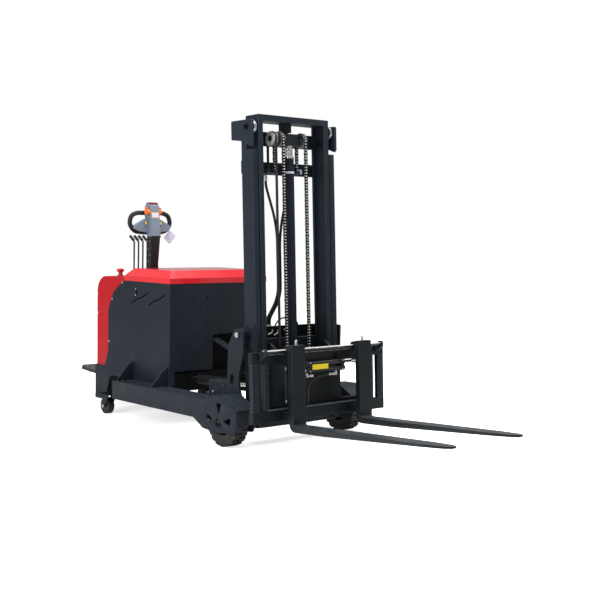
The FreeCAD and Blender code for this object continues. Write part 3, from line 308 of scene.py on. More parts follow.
def repeated(name, template, matrices):
    """One piece made of many copies of a template, which is then removed."""
    mesh = bmesh.new()
    for matrix in matrices:
        part = template.data.copy()
        part.transform(matrix)
        mesh.from_mesh(part)
        bpy.data.meshes.remove(part)
    whole = bpy.data.meshes.new(name)
    mesh.to_mesh(whole)
    mesh.free()
    for material in template.data.materials:
        whole.materials.append(material)
    piece = bpy.data.objects.new(name, whole)
    bpy.context.scene.collection.objects.link(piece)
    bpy.data.objects.remove(template, do_unlink=True)
    take(piece)
    bpy.ops.object.shade_smooth_by_angle(angle=SEAM_ANGLE)
    return piece


def tube(name, points, radius, finish, resolution=6, sides=4):
    """Round tube along a smooth curve through the control points, made a mesh."""
    curve = bpy.data.curves.new(name, "CURVE")
    curve.dimensions = "3D"
    curve.bevel_depth = radius
    curve.bevel_resolution = sides
    curve.resolution_u = resolution
    curve.use_fill_caps = True
    spline = curve.splines.new("NURBS")
    spline.points.add(len(points) - 1)
    for target, (x, y, z) in zip(spline.points, points):
        target.co = (x, y, z, 1)
    spline.order_u = 3
    spline.use_endpoint_u = True
    piece = bpy.data.objects.new(name, curve)
    bpy.context.scene.collection.objects.link(piece)
    take(piece)
    bpy.ops.object.convert(target="MESH")
    piece = fresh(name)
    bpy.ops.object.shade_smooth_by_angle(angle=SEAM_ANGLE)
    paint(piece, finish)
    return piece


def paint(piece, *finishes):
    """Gives a piece its materials, in slot order."""
    piece.data.materials.clear()
    for finish in finishes:
        piece.data.materials.append(bpy.data.materials[finish])
    return piece


def twin_of(node, *finishes):
    """Copy of a CAD node's mesh with its faces merged and its normals tidied."""
    piece = bpy.data.objects.new(node + "_finished", NODES[node].data.copy())
    bpy.context.scene.collection.objects.link(piece)
    paint(piece, *finishes)
    for polygon in piece.data.polygons:
        polygon.material_index = 0
    begin_edit(piece, "VERT")
    bpy.ops.mesh.select_all(action="SELECT")
    bpy.ops.mesh.remove_doubles(threshold=0.00002)
    bpy.ops.mesh.dissolve_limited(angle_limit=math.radians(1.0))
    bpy.ops.mesh.normals_make_consistent(inside=False)
    end_edit()
    return piece


def soften(node, finish, edge_finish, width):
    """Copy of a CAD node with rounded edges, which then stands for the node. The bevels take the
    edge finish, which for painted parts is a lighter copy of the coat: a painted highlight along the
    edges.
    """
    piece = twin_of(node, finish, edge_finish)
    round_edges(piece, width, edge_slot=True)
    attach(piece, BODY_OF[node])
    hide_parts(node)
    return piece


def bend_between(piece, node):
    """Hides the node that a chain or hose stands for, and bakes the piece's placement into its mesh.
    """
    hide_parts(node)
    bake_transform(piece)


def recolour(piece, finish, back, test):
    """Gives another finish to the faces whose middle passes a test in the source's frame."""
    piece.data.materials.append(bpy.data.materials[finish])
    index = len(piece.data.materials) - 1
    for face in piece.data.polygons:
        if test(back @ face.center):
            face.material_index = index


def bolt_template(name, radius, height, finish):
    """Hexagon head with a washer, lying on the floor of its own frame and pointing up."""
    head = turned(name, [(0.0012, radius), (height * 0.85, radius), (height, radius * 0.88),
                         (height, radius * 0.3)], segments=6)
    washer = turned(name + "_washer", [(0, radius * 1.28), (0.0015, radius * 1.28),
                                       (0.0018, radius * 1.2), (0.0018, radius * 0.6)],
                    segments=20)
    whole = merge(name, [head, washer])
    return paint(whole, finish)


def placed(axis, at):
    return Matrix.Translation(at) @ AXIS_TURN[axis]


def bolts(name, body, spots, radius, height, finish, place=UPRIGHT):
    """Row of like bolt heads on one body; spots are (axis, (x, y, z))."""
    template = bolt_template(name + "_head", radius, height, finish)
    piece = repeated(name, template, [placed(axis, at) for axis, at in spots])
    return settle(piece, body, place)


def screws(name, body, spots, radius, finish, place=UPRIGHT):
    """Row of like dome-headed screws with a hexagon socket."""
    template = turned(name + "_head", [(0, radius), (radius * 0.35, radius),
                                       (radius * 0.7, radius * 0.75), (radius * 0.78, radius * 0.45),
                                       (radius * 0.4, radius * 0.42)], segments=12)
    paint(template, finish)
    piece = repeated(name, template, [placed(axis, at) for axis, at in spots])
    return settle(piece, body, place)


def cut_out(piece, tool, kind="DIFFERENCE"):
    """Boolean of two closed meshes; the tool is removed afterwards."""
    take(piece)
    cut = piece.modifiers.new("cut", "BOOLEAN")
    cut.operation = kind
    cut.solver = "EXACT"
    cut.object = tool
    bpy.ops.object.modifier_apply(modifier=cut.name)
    bpy.data.objects.remove(tool, do_unlink=True)
    return piece


def hollow(piece, at, radius, depth, axis):
    """Round recess in a face; at is the middle of the recess's mouth."""
    turn = AXIS_TURN[axis]
    tool = turned("tool", [(-depth, radius), (depth, radius)], 40)
    tool.data.transform(Matrix.Translation(at) @ turn)
    return cut_out(piece, tool)


def groove(piece, level, half, depth, middle):
    """Horizontal groove round a shell: four cuts, then the middle strip is pushed in."""
    for z in (level - half * 2, level - half, level + half, level + half * 2):
        begin_edit(piece)
        bpy.ops.mesh.select_all(action="SELECT")
        bpy.ops.mesh.bisect(plane_co=(0, 0, z), plane_no=(0, 0, 1), use_fill=False,
                            clear_inner=False, clear_outer=False)
        end_edit()
    for vertex in piece.data.vertices:
        at = vertex.co
        push = Vector((vertex.normal.x, vertex.normal.y, 0))
        outward = Vector((at.x - middle, at.y, 0))
        if abs(at.z - level) < half * 1.3 and push.length > 0.5 and push.dot(outward) > 0.02:
            vertex.co = at - push.normalized() * depth
    piece.data.update()


def shader_group(name, inputs, outputs):
    """Empty node group with named sockets."""
    group = bpy.data.node_groups.new(name, "ShaderNodeTree")
    for title, kind, default in inputs:
        socket = group.interface.new_socket(name=title, in_out="INPUT", socket_type=kind)
        socket.default_value = default
    for title, kind in outputs:
        group.interface.new_socket(name=title, in_out="OUTPUT", socket_type=kind)
    return group


def noise(group, scale, detail=3.0, stretch=(1, 1, 1)):
    """Noise on object coordinates inside a group; gives its output socket."""
    place = group.nodes.new("ShaderNodeTexCoord")
    mapping = group.nodes.new("ShaderNodeMapping")
    mapping.inputs["Scale"].default_value = stretch
    texture = group.nodes.new("ShaderNodeTexNoise")
    texture.inputs["Scale"].default_value = scale
    texture.inputs["Detail"].default_value = detail
    group.links.new(place.outputs["Object"], mapping.inputs["Vector"])
    group.links.new(mapping.outputs["Vector"], texture.inputs["Vector"])
    return texture.outputs["Fac"]


def ramp_between(group, value, low, high, out_low=0.0, out_high=1.0):
    """Maps a value from one span to another; gives its output socket."""
    node = group.nodes.new("ShaderNodeMapRange")
    node.inputs["From Min"].default_value = low
    node.inputs["From Max"].default_value = high
    node.inputs["To Min"].default_value = out_low
    node.inputs["To Max"].default_value = out_high
    group.links.new(value, node.inputs["Value"])
    return node.outputs["Result"]


def arithmetic(group, kind, a, b):
    """Math node on two sockets or numbers."""
    node = group.nodes.new("ShaderNodeMath")
    node.operation = kind
    for slot, value in zip(node.inputs, (a, b)):
        if isinstance(value, (int, float)):
            slot.default_value = value
        else:
            group.links.new(value, slot)
    return node.outputs["Value"]


def mixed(group, factor, a, b):
    """Mixes two colours given as sockets."""
    node = group.nodes.new("ShaderNodeMix")
    node.data_type = "RGBA"
    group.links.new(factor, node.inputs["Factor"])
    group.links.new(a, node.inputs["A"])
    group.links.new(b, node.inputs["B"])
    return node.outputs["Result"]


def sprayed_coat_group():
    """Sprayed paint: slow tone drift, fine dust with a painted bluish sheen on faces that look up,
    orange-peel grain.
    """
    group = shader_group("Sprayed coat", [
        ("Colour", "NodeSocketColor", (0.1, 0.1, 0.1, 1)),
        ("Dirt And Sheen Colour", "NodeSocketColor", (0.2, 0.22, 0.25, 1)),
        ("Dirt And Sheen", "NodeSocketFloat", 0.2), ("Drift", "NodeSocketFloat", 0.2),
        ("Roughness", "NodeSocketFloat", 0.4)],
        [("Colour", "NodeSocketColor"), ("Roughness", "NodeSocketFloat"),
         ("Height", "NodeSocketFloat")])
    source = group.nodes.new("NodeGroupInput")
    result = group.nodes.new("NodeGroupOutput")
    slow = ramp_between(group, noise(group, 4.0), 0.3, 0.7, -1.0, 1.0)
    drift = arithmetic(group, "MULTIPLY", slow, source.outputs["Drift"])
    tone = group.nodes.new("ShaderNodeHueSaturation")
    group.links.new(source.outputs["Colour"], tone.inputs["Color"])
    group.links.new(arithmetic(group, "ADD", drift, 1.0), tone.inputs["Value"])
    geometry = group.nodes.new("ShaderNodeNewGeometry")
    split = group.nodes.new("ShaderNodeSeparateXYZ")
    group.links.new(geometry.outputs["Normal"], split.inputs["Vector"])
    # Faces that look up take the bluish colour: dust, and a painted sheen of the sky.
    upward = ramp_between(group, split.outputs["Z"], 0.25, 1.0)
    patches = ramp_between(group, noise(group, 22.0, 5.0), 0.35, 0.75)
    dirt_and_sheen = arithmetic(group, "MULTIPLY", arithmetic(group, "MULTIPLY", upward, patches),
                      source.outputs["Dirt And Sheen"])
    group.links.new(mixed(group, dirt_and_sheen, tone.outputs["Color"], source.outputs["Dirt And Sheen Colour"]),
                    result.inputs["Colour"])
    smears = ramp_between(group, noise(group, 9.0, 6.0), 0.3, 0.7, -0.07, 0.07)
    rough = arithmetic(group, "ADD", source.outputs["Roughness"], smears)
    group.links.new(arithmetic(group, "ADD", rough, arithmetic(group, "MULTIPLY", dirt_and_sheen, 0.5)),
                    result.inputs["Roughness"])
    group.links.new(noise(group, 420.0, 2.0), result.inputs["Height"])
    return group


def worn_metal_group():
    """Bare or plated metal: fine directional scratches and darker stained patches."""
    group = shader_group("Worn metal", [
        ("Colour", "NodeSocketColor", (0.6, 0.6, 0.6, 1)),
        ("Stain", "NodeSocketFloat", 0.3), ("Roughness", "NodeSocketFloat", 0.25)],
        [("Colour", "NodeSocketColor"), ("Roughness", "NodeSocketFloat"),
         ("Height", "NodeSocketFloat")])
    source = group.nodes.new("NodeGroupInput")
    result = group.nodes.new("NodeGroupOutput")
    stains = ramp_between(group, noise(group, 30.0, 5.0), 0.35, 0.8)
    amount = arithmetic(group, "MULTIPLY", stains, source.outputs["Stain"])
    tone = group.nodes.new("ShaderNodeHueSaturation")
    group.links.new(source.outputs["Colour"], tone.inputs["Color"])
    group.links.new(arithmetic(group, "SUBTRACT", 1.0, amount), tone.inputs["Value"])
    group.links.new(tone.outputs["Color"], result.inputs["Colour"])
    group.links.new(arithmetic(group, "ADD", source.outputs["Roughness"],
                               arithmetic(group, "MULTIPLY", amount, 0.5)),
                    result.inputs["Roughness"])
    group.links.new(noise(group, 90.0, 3.0, (1, 1, 14)), result.inputs["Height"])
    return group


def moulded_group():
    """Rubber or plastic: fine moulded grain and grey scuffs."""
    group = shader_group("Moulded grain", [
        ("Colour", "NodeSocketColor", (0.02, 0.02, 0.02, 1)),
        ("Scuff Colour", "NodeSocketColor", (0.1, 0.1, 0.09, 1)),
        ("Scuffs", "NodeSocketFloat", 0.3), ("Roughness", "NodeSocketFloat", 0.6),
        ("Grain Scale", "NodeSocketFloat", 600.0)],
        [("Colour", "NodeSocketColor"), ("Roughness", "NodeSocketFloat"),
         ("Height", "NodeSocketFloat")])
    source = group.nodes.new("NodeGroupInput")
    result = group.nodes.new("NodeGroupOutput")
    marks = ramp_between(group, noise(group, 45.0, 6.0), 0.48, 0.75)
    amount = arithmetic(group, "MULTIPLY", marks, source.outputs["Scuffs"])
    group.links.new(mixed(group, amount, source.outputs["Colour"], source.outputs["Scuff Colour"]),
                    result.inputs["Colour"])
    group.links.new(arithmetic(group, "ADD", source.outputs["Roughness"],
                               arithmetic(group, "MULTIPLY", amount, 0.3)),
                    result.inputs["Roughness"])
    grain = noise(group, 600.0, 2.0)
    group.links.new(source.outputs["Grain Scale"], grain.node.inputs["Scale"])
    group.links.new(grain, result.inputs["Height"])
    return group


def finish_of(name, group_name, values, bump=0.05, metallic=0.0, coat=0.0, specular=0.5):
    """Material whose colour, roughness and bump come from one of the groups."""
    material = bpy.data.materials.new(name)
    material.use_nodes = True
    tree = material.node_tree
    surface = tree.nodes["Principled BSDF"]
    surface.inputs["Metallic"].default_value = metallic
    surface.inputs["Coat Weight"].default_value = coat
    surface.inputs["Coat Roughness"].default_value = 0.08
    surface.inputs["Specular IOR Level"].default_value = specular
    effect = tree.nodes.new("ShaderNodeGroup")
    effect.node_tree = bpy.data.node_groups[group_name]
    for title, value in values.items():
        effect.inputs[title].default_value = (*value, 1) if isinstance(value, tuple) else value
    relief = tree.nodes.new("ShaderNodeBump")
    relief.inputs["Strength"].default_value = bump
    relief.inputs["Distance"].default_value = 0.0006
    tree.links.new(effect.outputs["Colour"], surface.inputs["Base Color"])
    tree.links.new(effect.outputs["Roughness"], surface.inputs["Roughness"])
    tree.links.new(effect.outputs["Height"], relief.inputs["Height"])
    tree.links.new(relief.outputs["Normal"], surface.inputs["Normal"])
    return material


def lighter(colour, factor):
    return tuple(min(1.0, part * factor) for part in colour)


class STACKER_OT_finishes(bpy.types.Operator):
    """Makes every paint, metal, rubber and plastic finish"""
    bl_idname = "stacker.finishes"
    bl_label = "Finishes"

    def execute(self, context):
        look = context.scene.stacker_colours
        charcoal = tuple(look.charcoal)
        black = tuple(look.fork_black)
        red = tuple(look.red)
        grey = tuple(look.tiller_grey)
        sprayed_coat_group()
        worn_metal_group()
        moulded_group()
        # Bluish grey for faces that look up: dust, and the painted sheen of the sky on them.
        dirt_and_sheen = (0.16, 0.19, 0.23)
        # name, colour, dust and painted top sheen, drift, roughness, bump, coat, specular
        paints = [
            ("charcoal coat", charcoal, 0.12, 0.14, 0.5, 0.1, 0.0, 0.14),
            # The edge paints are lighter copies of their coats for the rounded bevels: painted
            # highlights along the edges.
            ("charcoal edge", lighter(charcoal, 2.4), 0.1, 0.1, 0.42, 0.05, 0.0, 0.35),
            ("mast coat", lighter(charcoal, 1.1), 0.12, 0.14, 0.48, 0.1, 0.0, 0.16),
            ("mast edge", lighter(charcoal, 3.2), 0.1, 0.1, 0.4, 0.05, 0.0, 0.35),
            ("fork coat", black, 0.10, 0.18, 0.42, 0.12, 0.0, 0.18),
            ("fork edge", lighter(black, 5.0), 0.08, 0.1, 0.38, 0.05, 0.0, 0.4),
            ("blade top dirt and sheen", lighter(black, 1.2), 0.3, 0.2, 0.36, 0.12, 0.0, 0.3),
            ("red coat", red, 0.0, 0.05, 0.2, 0.03, 0.7, 0.5),
            ("red edge", lighter(red, 1.1), 0.0, 0.05, 0.2, 0.03, 0.7, 0.5),
            ("cowl coat", lighter(red, 0.62), 0.0, 0.05, 0.42, 0.04, 0.0, 0.2),
            ("cowl edge", lighter(red, 0.9), 0.0, 0.05, 0.3, 0.03, 0.0, 0.4),
            # Light grey for strips that paint highlights along edges.
            ("edge highlight grey", (0.15, 0.165, 0.18), 0.1, 0.2, 0.4, 0.06, 0.0, 0.4),
            ("wheel coat", lighter(charcoal, 1.3), 0.1, 0.15, 0.45, 0.1, 0.0, 0.3),
            # Near black that paints the shade in slots, under the body and between parts; also on a
            # few small dark parts.
            ("dark recess", (0.003, 0.0035, 0.004), 0.0, 0.1, 0.8, 0.05, 0.0, 0.1),
            ("yellow plate", (0.78, 0.62, 0.015), 0.05, 0.08, 0.4, 0.04, 0.0, 0.3),
            ("white tag", (0.60, 0.66, 0.80), 0.05, 0.05, 0.45, 0.04, 0.0, 0.3),
            ("lead grey", (0.22, 0.23, 0.24), 0.1, 0.2, 0.5, 0.1, 0.0, 0.4),
            ("gold plate", (0.75, 0.42, 0.06), 0.0, 0.2, 0.35, 0.04, 0.2, 0.5)]
        for name, colour, dirt_and_sheen_amount, drift, rough, bump, coat, specular in paints:
            finish_of(name, "Sprayed coat", {"Colour": colour, "Dirt And Sheen Colour": dirt_and_sheen, "Dirt And Sheen": dirt_and_sheen_amount,
                                             "Drift": drift, "Roughness": rough},
                      bump=bump, coat=coat, specular=specular)
        # name, colour, stain, roughness, bump, how metallic
        metals = [
            ("chrome", (0.82, 0.83, 0.85), 0.1, 0.08, 0.02, 1.0),
            ("zinc plate", (0.62, 0.63, 0.64), 0.25, 0.28, 0.06, 1.0),
            ("turned steel", (0.5, 0.5, 0.51), 0.35, 0.3, 0.08, 1.0),
            # Pale zinc is the metal of the real fittings; it also paints the highlight on the
            # shaft's top and the reflection on a sheave's near face.
            ("pale zinc and painted highlight", (0.66, 0.66, 0.65), 0.3, 0.34, 0.08, 0.2),
            ("black steel", (0.07, 0.072, 0.076), 0.3, 0.24, 0.05, 1.0),
            ("oiled chain", (0.045, 0.043, 0.042), 0.5, 0.36, 0.06, 1.0),
            ("dark bolt", (0.06, 0.062, 0.066), 0.4, 0.34, 0.06, 1.0)]
        for name, colour, stain, rough, bump, metallic in metals:
            finish_of(name, "Worn metal", {"Colour": colour, "Stain": stain, "Roughness": rough},
                      bump=bump, metallic=metallic)
        # name, colour, scuff colour, scuffs, roughness, grain scale, bump
        moulded = [
            ("tyre rubber", (0.010, 0.010, 0.009), (0.05, 0.05, 0.04), 0.45, 0.62, 260.0, 0.5),
            ("grip rubber", (0.006, 0.006, 0.0065), (0.03, 0.03, 0.03), 0.2, 0.5, 900.0, 0.3),
            ("hose rubber", (0.005, 0.005, 0.0055), (0.03, 0.03, 0.03), 0.2, 0.3, 500.0, 0.15),
            ("hose sheath", (0.02, 0.021, 0.024), (0.08, 0.08, 0.09), 0.2, 0.16, 500.0, 0.1),
            ("black plastic", (0.006, 0.006, 0.007), (0.03, 0.03, 0.03), 0.15, 0.38, 1200.0, 0.2),
            ("tiller grey", grey, lighter(grey, 1.3), 0.15, 0.45, 1400.0, 0.2),
            ("orange plastic", (0.78, 0.17, 0.03), (0.9, 0.35, 0.12), 0.2, 0.35, 900.0, 0.1),
            ("red plastic", (0.45, 0.004, 0.01), (0.5, 0.02, 0.02), 0.1, 0.28, 900.0, 0.05),
            ("dark red rim", (0.26, 0.0, 0.035), (0.3, 0.01, 0.04), 0.1, 0.3, 900.0, 0.05),
            ("yellow button", (0.75, 0.5, 0.03), (0.7, 0.5, 0.1), 0.1, 0.35, 900.0, 0.05),
            ("castor tread", (0.005, 0.005, 0.0055), (0.03, 0.03, 0.03), 0.2, 0.5, 400.0, 0.3),
            ("step rubber", (0.07, 0.078, 0.086), (0.16, 0.16, 0.16), 0.35, 0.7, 300.0, 0.5)]
        for name, colour, scuff, amount, rough, scale, bump in moulded:
            finish_of(name, "Moulded grain",
                      {"Colour": colour, "Scuff Colour": scuff, "Scuffs": amount,
                       "Roughness": rough, "Grain Scale": scale}, bump=bump, specular=0.4)
        return {"FINISHED"}


FLOOR_WHITE = (0.94, 0.94, 0.94, 1)
FLOOR_GLOW = 0.68
ROOM_LIGHT = 0.40
CAMERA_AT = Vector((5.216 + DATUM, -4.490, 1.273))
CAMERA_TARGET = Vector((0.115 + DATUM, 0.0, 0.845))
CAMERA_ROLL = math.radians(0.911)
CAMERA_LENS = 68.2


def stage_camera():
    """Camera at the photograph's viewing angle."""
    data = bpy.data.cameras.new("view")
    data.lens = CAMERA_LENS
    data.sensor_width = 36
    camera = bpy.data.objects.new("view", data)
    bpy.context.scene.collection.objects.link(camera)
    forward = (CAMERA_TARGET - CAMERA_AT).normalized()
    level = forward.cross(Vector((0, 0, 1))).normalized()
    above = level.cross(forward)
    right = level * math.cos(CAMERA_ROLL) + above * math.sin(CAMERA_ROLL)
    above = right.cross(forward)
    turn = Matrix((right, above, -forward)).transposed().to_4x4()
    camera.matrix_world = Matrix.Translation(CAMERA_AT) @ turn
    bpy.context.scene.camera = camera


def stage_lamp(name, at, aim, size, power):
    """White rectangular lamp that points at a spot."""
    lamp = bpy.data.lights.new(name, "AREA")
    lamp.shape = "RECTANGLE"
    lamp.size, lamp.size_y = size
    lamp.energy = power
    holder = bpy.data.objects.new(name, lamp)
    bpy.context.scene.collection.objects.link(holder)
    direction = Vector(aim) - Vector(at)
    holder.matrix_world = (Matrix.Translation(at)
                           @ direction.to_track_quat("-Z", "Y").to_matrix().to_4x4())


def seen_directly(tree):
    """Gives the socket that is 1 for camera and transmission rays, and 0 for all others."""
    rays = tree.nodes.new("ShaderNodeLightPath")
    seen = tree.nodes.new("ShaderNodeMath")
    seen.operation = "MAXIMUM"
    tree.links.new(rays.outputs["Is Camera Ray"], seen.inputs[0])
    tree.links.new(rays.outputs["Is Transmission Ray"], seen.inputs[1])
    return seen.outputs[0]


def white_when_seen(tree, shader, strength):
    """Adds an emission to a shader that only camera and transmission rays see."""
    level = tree.nodes.new("ShaderNodeMath")
    level.operation = "MULTIPLY"
    level.inputs[1].default_value = strength
    tree.links.new(seen_directly(tree), level.inputs[0])
    glow = tree.nodes.new("ShaderNodeEmission")
    tree.links.new(level.outputs[0], glow.inputs["Strength"])
    both = tree.nodes.new("ShaderNodeAddShader")
    tree.links.new(shader, both.inputs[0])
    tree.links.new(glow.outputs[0], both.inputs[1])
    return both.outputs[0]


class STACKER_OT_stage(bpy.types.Operator):
    """Sets the floor, the pale surroundings, the lamps and the camera"""
    bl_idname = "stacker.stage"
    bl_label = "Stage"

    def execute(self, context):
        scene = context.scene
        scene.view_settings.view_transform = "Standard"
        world = bpy.data.worlds.new("pale room")
        scene.world = world
        world.use_nodes = True
        tree = world.node_tree
        room = tree.nodes["Background"]
        room.inputs["Color"].default_value = (1, 1, 1, 1)
        white = tree.nodes.new("ShaderNodeMix")
        white.data_type = "FLOAT"
        white.inputs["A"].default_value = ROOM_LIGHT
        white.inputs["B"].default_value = 1.0
        tree.links.new(seen_directly(tree), white.inputs["Factor"])
        tree.links.new(white.outputs["Result"], room.inputs["Strength"])
        deselect_all()
        bpy.ops.mesh.primitive_plane_add(size=60, location=(0, 0, 0))
        floor = fresh("floor")
        material = bpy.data.materials.new("pale floor")
        material.use_nodes = True
        tree = material.node_tree
        surface = tree.nodes["Principled BSDF"]
        surface.inputs["Base Color"].default_value = FLOOR_WHITE
        surface.inputs["Roughness"].default_value = 0.9
        surface.inputs["Specular IOR Level"].default_value = 0.0
        out = tree.nodes["Material Output"]
        whitened = white_when_seen(tree, surface.outputs[0], FLOOR_GLOW)
        tree.links.new(whitened, out.inputs["Surface"])
        floor.data.materials.append(material)
        stage_lamp("overhead", (0.6, 0.0, 5.2), (0.2, 0, 0.6), (5.0, 4.0), 330)
        stage_lamp("near fill", (0.4, -6.0, 2.6), (0.2, 0, 0.7), (4.0, 2.5), 225)
        stage_lamp("far rim", (0.5, 5.0, 3.6), (0.0, 0, 0.8), (4.0, 2.0), 110)
        stage_camera()
        return {"FINISHED"}


class STACKER_OT_steel_frame(bpy.types.Operator):
    """Finishes the legs, mast mounts, base, gussets and rear skirt"""
    bl_idname = "stacker.steel_frame"
    bl_label = "Steel frame"

    def execute(self, context):
        sizes = context.scene.stacker_sizes
        for side, sign, outward in SIDES:
            leg = soften("leg_" + side, "charcoal coat", "charcoal edge", sizes.edge)
            soften("mast_mount_" + side, "charcoal coat", "charcoal edge", sizes.edge)
            inward = "-y" if sign > 0 else "y"
            hollow(leg, (AXLE_X + DATUM, sign * 0.532, AXLE_Z), 0.027, 0.0085, outward)
            bolts("axle_bolt_" + side, "chassis", [(outward, (0.022, sign * 0.5235, 0.148))],
                  0.0088, 0.006, "dark bolt")
            # The slot is a block painted near black: painted shade in the slot.
            slot = cube("axle_slot_" + side, (-0.001, sign * 0.5265 - 0.003, 0.125),
                        (0.040, sign * 0.5265 + 0.003, 0.141))
            paint(round_edges(slot, 0.0015), "dark recess")
            settle(slot, "chassis")
            # washer and nut on the mast pin, then the bolts that hold the mount box to the leg
            washer = turned("mount_washer_" + side, [(0, 0.0185), (0.0016, 0.0185),
                                                     (0.0020, 0.0175), (0.0020, 0.006)], 36,
                            outward, (PIVOT_X, sign * 0.3960, PIVOT_Z))
            paint(washer, "dark recess")
            settle(washer, "chassis")
            bolts("mount_nuts_" + side, "chassis",
                  [(outward, (PIVOT_X, sign * 0.3980, PIVOT_Z))], 0.0125, 0.009, "zinc plate")
            spots = [(outward, (x, sign * 0.390, 0.335)) for x in (-0.115, -0.235)]
            spots += [(inward, (x, sign * 0.320, 0.330)) for x in (-0.115, -0.235)]
            bolts("mount_bolts_" + side, "chassis", spots, sizes.bolt, 0.007, "dark bolt")
            bolts("mount_pin_" + side, "chassis", [(outward, (-0.222, sign * 0.390, 0.285))],
                  0.0055, 0.005, "zinc plate")
            spots = [("z", (x, sign * 0.470, 0.262)) for x in (-1.085, -0.735)]
            bolts("leg_bolts_" + side, "chassis", spots, sizes.bolt, 0.007, "dark bolt")
        for node in ("leg_gussets", "rear_skirt"):
            soften(node, "charcoal coat", "charcoal edge", sizes.edge)
        # The base frame under the body is painted near black: painted shade.
        soften("base_frame", "dark recess", "dark recess", sizes.edge)
        return {"FINISHED"}


class STACKER_OT_body_panels(bpy.types.Operator):
    """Finishes the body sides and front with their screws and key plates, and the lid's pins"""
    bl_idname = "stacker.body_panels"
    bl_label = "Body panels"

    def execute(self, context):
        for side, sign, outward in SIDES:
            soften("side_panel_" + side, "charcoal coat", "charcoal edge", 0.0012)
            face = sign * 0.3898
            dark = [(-1.300, 0.300), (-0.712, 0.300), (-0.712, 0.880), (-1.120, 0.283)]
            bright = [(-1.231, 0.895), (-1.356, 0.780), (-1.395, 0.491)]
            screws("side_screws_" + side, "chassis", [(outward, (x, face, z)) for x, z in dark],
                   0.0052, "dark bolt")
            screws("side_caps_" + side, "chassis", [(outward, (x, face, z)) for x, z in bright],
                   0.0060, "zinc plate")
            # oval key plate with its two screws
            lock_x, lock_z, lock_radius = -1.060, 0.841, 0.0062
            oval = []
            for step in range(24):
                turn = step * math.pi / 12
                lift = math.copysign(0.012, math.sin(turn + 0.01))
                oval.append((lock_x + lock_radius * math.cos(turn),
                             lock_z + lock_radius * math.sin(turn) + lift))
            near, far = sorted((sign * 0.3895, sign * 0.3918))
            lock = plate("lock_" + side, oval, near, far)
            paint(round_edges(lock, 0.0006), "dark recess")
            settle(lock, "chassis")
            screws("lock_screws_" + side, "chassis",
                   [(outward, (-1.071, face, 0.861)), (outward, (-1.073, face, 0.822))],
                   0.0050, "zinc plate")
        soften("front_panel", "charcoal coat", "charcoal edge", 0.0012)
        at = [(y, z) for y in (-0.370, 0.370) for z in (0.310, 0.520, 0.720)]
        at += [(y, 0.885) for y in (-0.250, 0.0, 0.250)]
        screws("front_screws", "chassis", [("x", (-0.6802, y, z)) for y, z in at], 0.0052,
               "dark bolt")
        soften("lid_hinge_pins", "charcoal coat", "charcoal edge", 0.0008)
        return {"FINISHED"}


class STACKER_OT_covers(bpy.types.Operator):
    """Finishes the red battery lid with its seal, and the red rear cowl with its grooves"""
    bl_idname = "stacker.covers"
    bl_label = "Red covers"

    def execute(self, context):
        soften("battery_lid", "red coat", "red edge", 0.0035)
        cowl = soften("rear_cowl", "cowl coat", "cowl edge", 0.003)
        for level in (0.806, 0.674):
            groove(cowl, level, 0.0042, 0.0042, COWL_MIDDLE + DATUM)
        even_shading(cowl)
        gasket = cube("lid_seal", (-1.196, -0.3895, 0.9055), (-0.6815, 0.3895, 0.9108))
        hole = cube("lid_seal_hole", (-1.186, -0.379, 0.90), (-0.6915, 0.379, 0.92))
        cut_out(gasket, hole)
        paint(gasket, "black plastic")
        settle(gasket, "battery_lid")
        return {"FINISHED"}


class STACKER_OT_battery(bpy.types.Operator):
    """Adds the cells, caps, terminals and links that show once the lid is open"""
    bl_idname = "stacker.battery"
    bl_label = "Battery"

    def execute(self, context):
        # The battery block is painted near black: the painted shade inside the bay.
        soften("battery_block", "dark recess", "dark recess", 0.003)
        rows, columns = 6, 4
        step_y, step_x = 0.104, 0.092
        first_y, first_x = -0.260, -1.073
        spots = [(first_x + step_x * column, first_y + step_y * row)
                 for column in range(columns) for row in range(rows)]
        cell = cube("cell", (-0.0445, -0.0505, 0), (0.0445, 0.0505, 0.010))
        paint(round_edges(cell, 0.003), "lead grey")
        cap = turned("cap", [(0.010, 0.0130), (0.019, 0.0120), (0.021, 0.0100),
                             (0.021, 0.0040), (0.024, 0.0036), (0.024, 0.0010)], segments=20)
        parts = [cell, paint(cap, "yellow button")]
        for y in (-0.034, 0.034):
            post = turned("post", [(0.010, 0.0080), (0.020, 0.0072), (0.0215, 0.0055)],
                          segments=16, at=(0.020, y, 0))
            parts.append(paint(post, "turned steel"))
        cells = repeated("battery_cells", merge("cell", parts),
                         [Matrix.Translation((x, y, 0.8402)) for x, y in spots])
        settle(cells, "chassis")
        links = []
        for column in range(columns):
            for row in range(rows - 1):
                x = first_x + step_x * column + 0.020
                y = first_y + step_y * (row + 0.5)
                links.append(cube("link", (x - 0.009, y - 0.026, 0.8612),
                                  (x + 0.009, y + 0.026, 0.8652)))
        bar = merge("battery_links", links)
        paint(round_edges(bar, 0.0012), "gold plate")
        settle(bar, "chassis")
        cables = []
        for y in (-0.295, 0.295):
            cables.append(tube("cable", [(-0.785, y * 0.966, 0.866), (-0.770, y, 0.880),
                                         (-0.900, y * 1.034, 0.884), (-1.060, y, 0.880),
                                         (-1.105, y * 0.94, 0.862)], 0.006, "hose rubber"))
        settle(merge("battery_cables", cables), "chassis")
        return {"FINISHED"}


